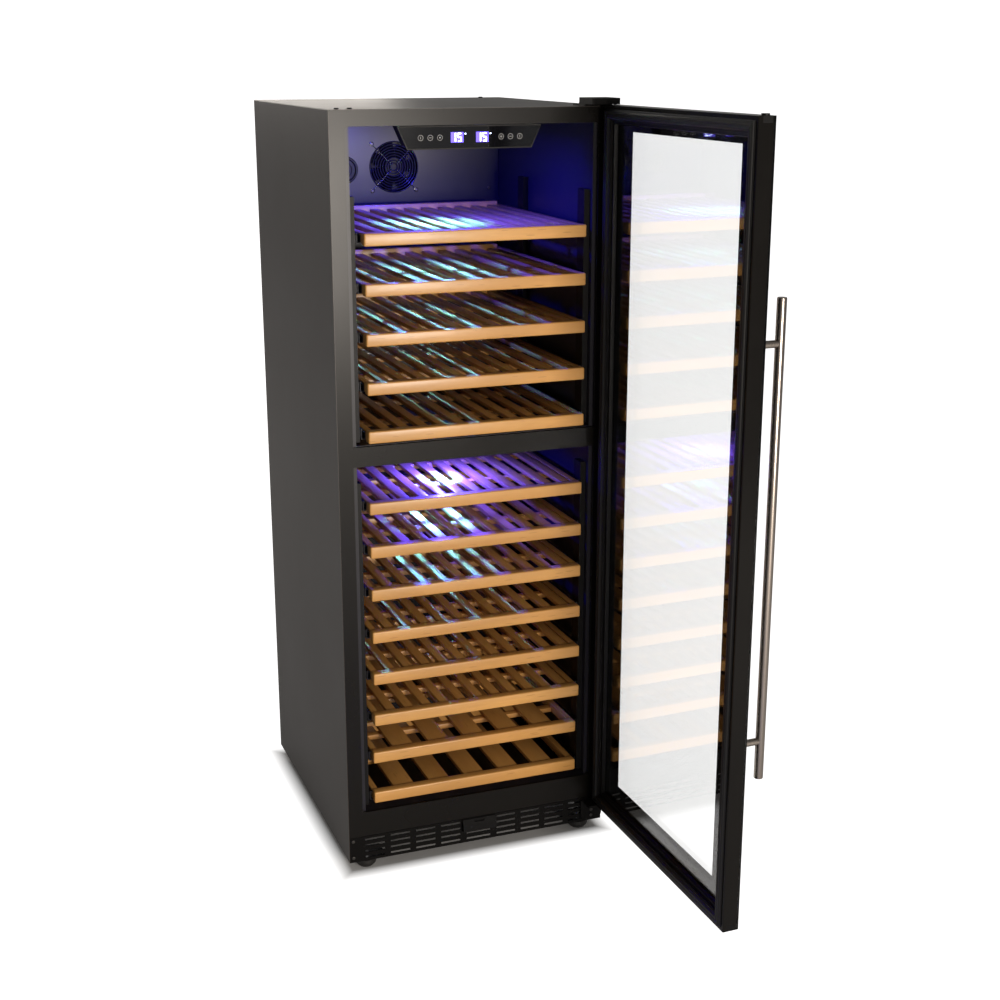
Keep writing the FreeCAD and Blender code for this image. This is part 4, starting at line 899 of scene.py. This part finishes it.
def icon(x, z, radius, front, mark):
    """A round key: a thin ring with a simple mark in it."""
    clear_selection()
    bpy.ops.mesh.primitive_torus_add(location=(x, front, z), rotation=(math.pi / 2, 0, 0), major_segments=32,
                                     minor_segments=6, major_radius=radius, minor_radius=0.5 * MM)
    ring = bpy.context.object
    freeze(ring)
    pieces = [ring]
    reach = 0.5 * radius
    marks = {"bar": [(reach, 0.5 * MM)], "plus": [(reach, 0.5 * MM), (0.5 * MM, reach)],
             "stem": [(0.5 * MM, reach)], "dot": [(0.25 * radius, 0.25 * radius)]}
    for half_x, half_z in marks[mark]:
        pieces.append(slab("mark", (x - half_x, front - 0.15 * MM, z - half_z),
                           (x + half_x, front + 0.1 * MM, z + half_z), 0.05 * MM, 1))
    return pieces


def make_panel(settings):
    """Lit numbers, each on its glowing window, and printed keys on both sides of them."""
    low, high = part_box("control_glass")
    front = low.y - 0.12 * MM
    height = settings.digit_height
    centre = (low.z + high.z) / 2
    bottom = centre - height / 2
    lit = []
    windows = []
    for middle, reading in ((-27 * MM, settings.upper_reading), (26 * MM, settings.lower_reading)):
        start = middle - 0.65 * height
        for place, figure in enumerate(reading[:2]):
            lit += digit(figure, start + place * 0.7 * height, bottom, height, front)
        half = 0.78 * height
        windows.append(slab("window", (middle - half, front + 0.1 * MM, bottom - 1.5 * MM),
                            (middle + half, front + 0.3 * MM, bottom + height + 1.5 * MM), 0.08 * MM, 1))
        lit.append(slab("degree", (middle + 0.95 * height, front, bottom + height - 3 * MM),
                        (middle + 0.95 * height + 2.4 * MM, front + 0.2 * MM, bottom + height - 0.6 * MM),
                        0.08 * MM, 1))
    fit(join("panel_digits", lit), "cabinet", FINISHES["lit_digits"])
    fit(join("panel_windows", windows), "cabinet", FINISHES["lit_window"])
    keys = []
    for x, mark in ((-103, "stem"), (-83, "bar"), (-63, "dot"), (66, "plus"), (86, "bar"), (106, "stem")):
        keys += icon(x * MM, centre, 5.2 * MM, front + 0.1 * MM, mark)
    fit(join("panel_keys", keys), "cabinet", FINISHES["icon_print"])


# ---------------------------------------------------------------- fan guards
GUARD_RINGS = 9
FIRST_RING = 9 * MM
RING_STEP = 6 * MM
WIRE_RADIUS = 1.3 * MM
ARM_RADIUS = 1.1 * MM
GUARD_REACH = 74 * MM


def wire_guards():
    """Concentric wire rings on four arms that end in screw eyes, one guard in front of each zone's fan."""
    low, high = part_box("fan_guards")
    middle_y = (low.y + high.y) / 2
    arm_middle = 0.55 * GUARD_REACH
    arm_length = 0.82 * GUARD_REACH
    wires = []
    for rotor in ("upper_fan_rotor", "lower_fan_rotor"):
        level = next(joint["pos_m"][2] for joint in frame["joints"] if joint["child"] == rotor)
        for step in range(GUARD_RINGS):
            clear_selection()
            bpy.ops.mesh.primitive_torus_add(location=(0, middle_y, level), rotation=(math.pi / 2, 0, 0),
                                             major_segments=64, minor_segments=8,
                                             major_radius=FIRST_RING + RING_STEP * step,
                                             minor_radius=WIRE_RADIUS)
            freeze(bpy.context.object)
            wires.append(bpy.context.object)
        for quarter in range(4):
            turn = math.radians(45 + 90 * quarter)
            across = math.cos(turn)
            up = math.sin(turn)
            centre = (arm_middle * across, middle_y + 0.8 * MM, level + arm_middle * up)
            clear_selection()
            bpy.ops.mesh.primitive_cylinder_add(vertices=12, radius=ARM_RADIUS, depth=arm_length,
                                                location=centre, rotation=(0, math.pi / 2 - turn, 0))
            freeze(bpy.context.object)
            wires.append(bpy.context.object)
            eye = (GUARD_REACH * across, middle_y, level + GUARD_REACH * up)
            wires.append(disc("eye", eye, 5 * MM, 1.6 * MM, "Y", 24, 0.4 * MM))
    fit(join("fan_guard_wires", wires), "cabinet", FINISHES["guard_wire"], ["fan_guards"])


# ---------------------------------------------------------------- screws
def cross_screw(radius, rise):
    """A pan head standing on the XZ plane towards -Y, with a cross recess."""
    head = disc("head", (0, -rise / 2, 0), radius, rise, "Y", 28, 0.55 * rise)
    arms = []
    for half_x, half_z in ((0.55 * radius, 0.13 * radius), (0.13 * radius, 0.55 * radius)):
        arms.append(slab("arm", (-half_x, -1.2 * rise, -half_z), (half_x, -0.35 * rise, half_z)))
    tool = join("cross", arms)
    recess = head.modifiers.new("cross", "BOOLEAN")
    recess.operation = "DIFFERENCE"
    recess.object = tool
    recess.use_self = True
    only(head)
    bpy.ops.object.modifier_apply(modifier="cross")
    bpy.data.objects.remove(tool)
    return head


def screw_places():
    """(place, turn) of every visible screw head: plinth, duct covers, fan guards, brackets and top."""
    facing_front = Matrix.Identity(4)
    facing_up = Matrix.Rotation(math.radians(-90), 4, "X")
    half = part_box("outer_shell")[1].x
    kick_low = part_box("kick_grille")[0]
    for z in (11 * MM, 50 * MM):
        yield Vector((9 * MM - half, kick_low.y, kick_low.z + z)), facing_front
    guard_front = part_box("fan_guards")[0].y + MM
    reach = 52.5 * MM
    for rotor, cover in (("upper_fan_rotor", "upper_duct_cover"), ("lower_fan_rotor", "lower_duct_cover")):
        middle = next(joint["pos_m"][2] for joint in frame["joints"] if joint["child"] == rotor)
        for x in (-reach, reach):
            for z in (middle - reach, middle + reach):
                yield Vector((x, guard_front, z)), facing_front
        cover_low, cover_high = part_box(cover)
        for x in (cover_low.x + 23.5 * MM, cover_high.x - 23.5 * MM):
            for z in (cover_low.z + 30 * MM, middle - 53 * MM):
                yield Vector((x, cover_low.y, z)), facing_front
    shell_low, shell_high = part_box("outer_shell")
    for x in (half - 52 * MM, half - 14 * MM):
        yield Vector((x, shell_low.y + 50 * MM, shell_high.z + 4 * MM)), facing_up
    for z in (kick_low.z + 14 * MM, kick_low.z + 28 * MM):
        yield Vector((half - 26 * MM, shell_low.y - 4 * MM, z)), facing_front


def top_plugs():
    """Flat plugs in the cabinet top."""
    low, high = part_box("outer_shell")
    plugs = []
    places = ((-high.x + 22 * MM, low.y + 20 * MM), (-high.x + 48 * MM, low.y + 20 * MM),
              (high.x - 60 * MM, high.y - 30 * MM))
    for x, y in places:
        plugs.append(disc("plug", (x, y, high.z + 1.2 * MM), 5 * MM, 2.4 * MM, "Z", 28, 0.8 * MM))
    return plugs


def make_screws():
    pattern = cross_screw(3.8 * MM, 2 * MM)
    heads = []
    for place, turn in screw_places():
        head = copy(pattern, "screw_head", (0, 0, 0))
        head.data.transform(Matrix.Translation(place) @ turn)
        heads.append(head)
    bpy.data.objects.remove(pattern)
    screws = join("cabinet_screw_heads", heads)
    fit(screws, "cabinet", FINISHES["screw_steel"], ["cabinet_screws"])
    plugs = join("top_plugs", top_plugs())
    fit(plugs, "cabinet", FINISHES["black_plastic"])


# ---------------------------------------------------------------- stage
def painted_shadow_under_cabinet(tree):
    """White, falling to black under the cabinet: a painted shadow on the floor's glow beneath it."""
    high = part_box("outer_shell")[1]
    split = tree.nodes.new("ShaderNodeSeparateXYZ")
    tree.links.new(object_place(tree), split.inputs[0])
    shares = []
    for axis, reach in ((0, high.x), (1, high.y)):
        size = calculate(tree, "ABSOLUTE", split.outputs[axis])
        shares.append(calculate(tree, "DIVIDE", size, reach))
    outside = calculate(tree, "MAXIMUM", *shares)
    edge = tree.nodes.new("ShaderNodeMapRange")
    edge.inputs["From Min"].default_value = 0.97
    edge.inputs["From Max"].default_value = 1.1
    tree.links.new(outside, edge.inputs["Value"])
    return mix_colours(tree, edge.outputs["Result"], (0, 0, 0), (1, 1, 1))


def backdrop(settings):
    """Pale floor that bends up into a wall behind the object."""
    clear_selection()
    bpy.ops.mesh.primitive_plane_add(size=1, location=(0, 0, 0))
    floor = bpy.context.object
    floor.name = "backdrop"
    floor.scale = (24, 12, 1)
    freeze(floor)
    select_edges(floor, lambda a, b: a.y > 5.9 and b.y > 5.9)
    bpy.ops.mesh.extrude_region_move(TRANSFORM_OT_translate={"value": (0, 0, 8)})
    bpy.ops.object.mode_set(mode="OBJECT")
    select_edges(floor, lambda a, b: a.y > 5.9 and b.y > 5.9 and a.z < 0.1 and b.z < 0.1)
    bpy.ops.mesh.bevel(offset=2.5, segments=settings.segments, affect="EDGES")
    bpy.ops.object.mode_set(mode="OBJECT")
    smooth(floor, 60)
    pale = satin("pale_floor", (0.62, 0.62, 0.62), (0.64, 0.64, 0.64), gloss=(0.6, 0.75), skin=(40.0, 0.05),
                 blotch=0.5)
    tree = pale.node_tree
    shader = tree.nodes["Principled BSDF"]
    shader.inputs["Emission Strength"].default_value = settings.floor_glow
    path = tree.nodes.new("ShaderNodeLightPath")
    seen = calculate(tree, "MAXIMUM", path.outputs["Is Camera Ray"], path.outputs["Is Transmission Ray"])
    faint = map_range(tree, path.outputs["Is Glossy Ray"], 0.0, 0.12)
    glance = calculate(tree, "MAXIMUM", seen, faint)
    # The floor's glow is cut to black under the cabinet, a painted shadow there.
    lit = mix_colours(tree, glance, (0, 0, 0), painted_shadow_under_cabinet(tree))
    tree.links.new(lit, shader.inputs["Emission Color"])
    paint(floor, pale)


def softbox(name, place, target, size, power, colour, spread=180):
    light = bpy.data.lights.new(name, "AREA")
    light.shape = "RECTANGLE"
    light.size, light.size_y = size
    light.energy = power
    light.color = colour
    light.spread = math.radians(spread)
    lamp = bpy.data.objects.new(name, light)
    lamp.location = place
    lamp.rotation_euler = (Vector(target) - Vector(place)).to_track_quat("-Z", "Y").to_euler()
    bpy.context.scene.collection.objects.link(lamp)


def lights(settings):
    world = bpy.data.worlds.new("white_room")
    world.use_nodes = True
    world.node_tree.nodes["Background"].inputs["Color"].default_value = (1, 1, 1, 1)
    world.node_tree.nodes["Background"].inputs["Strength"].default_value = 0.17
    bpy.context.scene.world = world
    middle = (0, -0.3, 0.9)
    softbox("key_light", (0.55, -4.6, 1.1), middle, (0.9, 1.1), 128, (1.0, 0.92, 0.83))
    softbox("side_light", (-3.4, 1.6, 2.2), middle, (1.4, 2.0), 12, (1.0, 0.9, 0.8))
    softbox("back_light", (0, 5.2, 2.3), middle, (3.0, 0.8), 42, (1.0, 0.93, 0.85))
    low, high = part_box("led_lamps")
    spots = {"upper_lamp": high.z - 7 * MM, "lower_lamp": low.z - MM}
    for name, level in spots.items():
        place = ((low.x + high.x) / 2 - 30 * MM, (low.y + high.y) / 2, level)
        down = (place[0] - 0.08, place[1] + 0.02, level - 1)
        softbox(name, place, down, (90 * MM, 20 * MM), settings.lamp_power, tuple(settings.lamp))
        softbox(name + "_beam", place, down, (40 * MM, 16 * MM), settings.beam_power,
                tuple(settings.beam), 70)


def camera(settings):
    data = bpy.data.cameras.new("camera")
    data.lens = settings.lens
    data.sensor_width = 36
    eye = bpy.data.objects.new("camera", data)
    eye.location = (-1.07593, -3.28707, 1.72004)
    eye.rotation_euler = (math.radians(90 - 16.04), 0, math.radians(-20.83))
    bpy.context.scene.collection.objects.link(eye)
    bpy.context.scene.camera = eye


# ---------------------------------------------------------------- operators and panel
class CoolerOperator:
    bl_options = {"REGISTER", "UNDO"}


class COOLER_OT_finishes(CoolerOperator, bpy.types.Operator):
    """Makes every finish and dresses the carried-over parts"""

    bl_idname = "cooler.finishes"
    bl_label = "Finishes"

    def execute(self, context):
        make_finishes(context.scene)
        dress_frame()
        return {"FINISHED"}


class COOLER_OT_cabinet(CoolerOperator, bpy.types.Operator):
    """Models the cabinet's outer sheet and the beads of its liners"""

    bl_idname = "cooler.cabinet"
    bl_label = "Cabinet"

    def execute(self, context):
        outer_sheet(context.scene.cooler_cabinet)
        zone_seals()
        return {"FINISHED"}


class COOLER_OT_shelves(CoolerOperator, bpy.types.Operator):
    """Models the slatted shelves and their runners"""

    bl_idname = "cooler.shelves"
    bl_label = "Shelves"

    def execute(self, context):
        make_shelves(context.scene.cooler_shelves)
        return {"FINISHED"}


class COOLER_OT_door(CoolerOperator, bpy.types.Operator):
    """Models the door's rim, borders, gasket and handle"""

    bl_idname = "cooler.door"
    bl_label = "Door"

    def execute(self, context):
        make_door(context.scene.cooler_door)
        return {"FINISHED"}


class COOLER_OT_panel(CoolerOperator, bpy.types.Operator):
    """Models the digits and keys of the touch panel"""

    bl_idname = "cooler.panel"
    bl_label = "Touch panel"

    def execute(self, context):
        make_panel(context.scene.cooler_panel)
        return {"FINISHED"}


class COOLER_OT_guards(CoolerOperator, bpy.types.Operator):
    """Models the wire guards in front of the fans"""

    bl_idname = "cooler.guards"
    bl_label = "Fan guards"

    def execute(self, context):
        wire_guards()
        return {"FINISHED"}


class COOLER_OT_screws(CoolerOperator, bpy.types.Operator):
    """Models the visible screw heads and plugs"""

    bl_idname = "cooler.screws"
    bl_label = "Screws"

    def execute(self, context):
        make_screws()
        return {"FINISHED"}


class COOLER_OT_stage(CoolerOperator, bpy.types.Operator):
    """Sets up the backdrop, the lights and the camera"""

    bl_idname = "cooler.stage"
    bl_label = "Stage"

    def execute(self, context):
        backdrop(context.scene.cooler_stage)
        lights(context.scene.cooler_stage)
        camera(context.scene.cooler_stage)
        context.scene.view_settings.view_transform = "Standard"
        return {"FINISHED"}


OPERATORS = [COOLER_OT_finishes, COOLER_OT_cabinet, COOLER_OT_shelves, COOLER_OT_door, COOLER_OT_panel,
             COOLER_OT_guards, COOLER_OT_screws, COOLER_OT_stage]


class COOLER_PT_parts(bpy.types.Panel):
    """Lists the cooler's settings and building steps"""

    bl_idname = "COOLER_PT_parts"
    bl_label = "Wine cooler"
    bl_space_type = "VIEW_3D"
    bl_region_type = "UI"
    bl_category = "Wine cooler"

    def draw(self, context):
        for operator in OPERATORS:
            self.layout.operator(operator.bl_idname)
        for name, settings in SETTINGS.items():
            box = self.layout.box()
            for prop in settings.__annotations__:
                box.prop(getattr(context.scene, name), prop)


def register():
    for settings in SETTINGS.values():
        bpy.utils.register_class(settings)
    for name, settings in SETTINGS.items():
        setattr(bpy.types.Scene, name, PointerProperty(type=settings))
    for operator in OPERATORS:
        bpy.utils.register_class(operator)
    bpy.utils.register_class(COOLER_PT_parts)


def unregister():
    bpy.utils.unregister_class(COOLER_PT_parts)
    for operator in reversed(OPERATORS):
        bpy.utils.unregister_class(operator)
    for name in SETTINGS:
        delattr(bpy.types.Scene, name)
    for settings in reversed(list(SETTINGS.values())):
        bpy.utils.unregister_class(settings)


def main():
    register()
    bpy.ops.cooler.finishes()
    bpy.ops.cooler.cabinet()
    bpy.ops.cooler.shelves()
    bpy.ops.cooler.door()
    bpy.ops.cooler.panel()
    bpy.ops.cooler.guards()
    bpy.ops.cooler.screws()
    bpy.ops.cooler.stage()


if __name__ == "__main__":
    main()
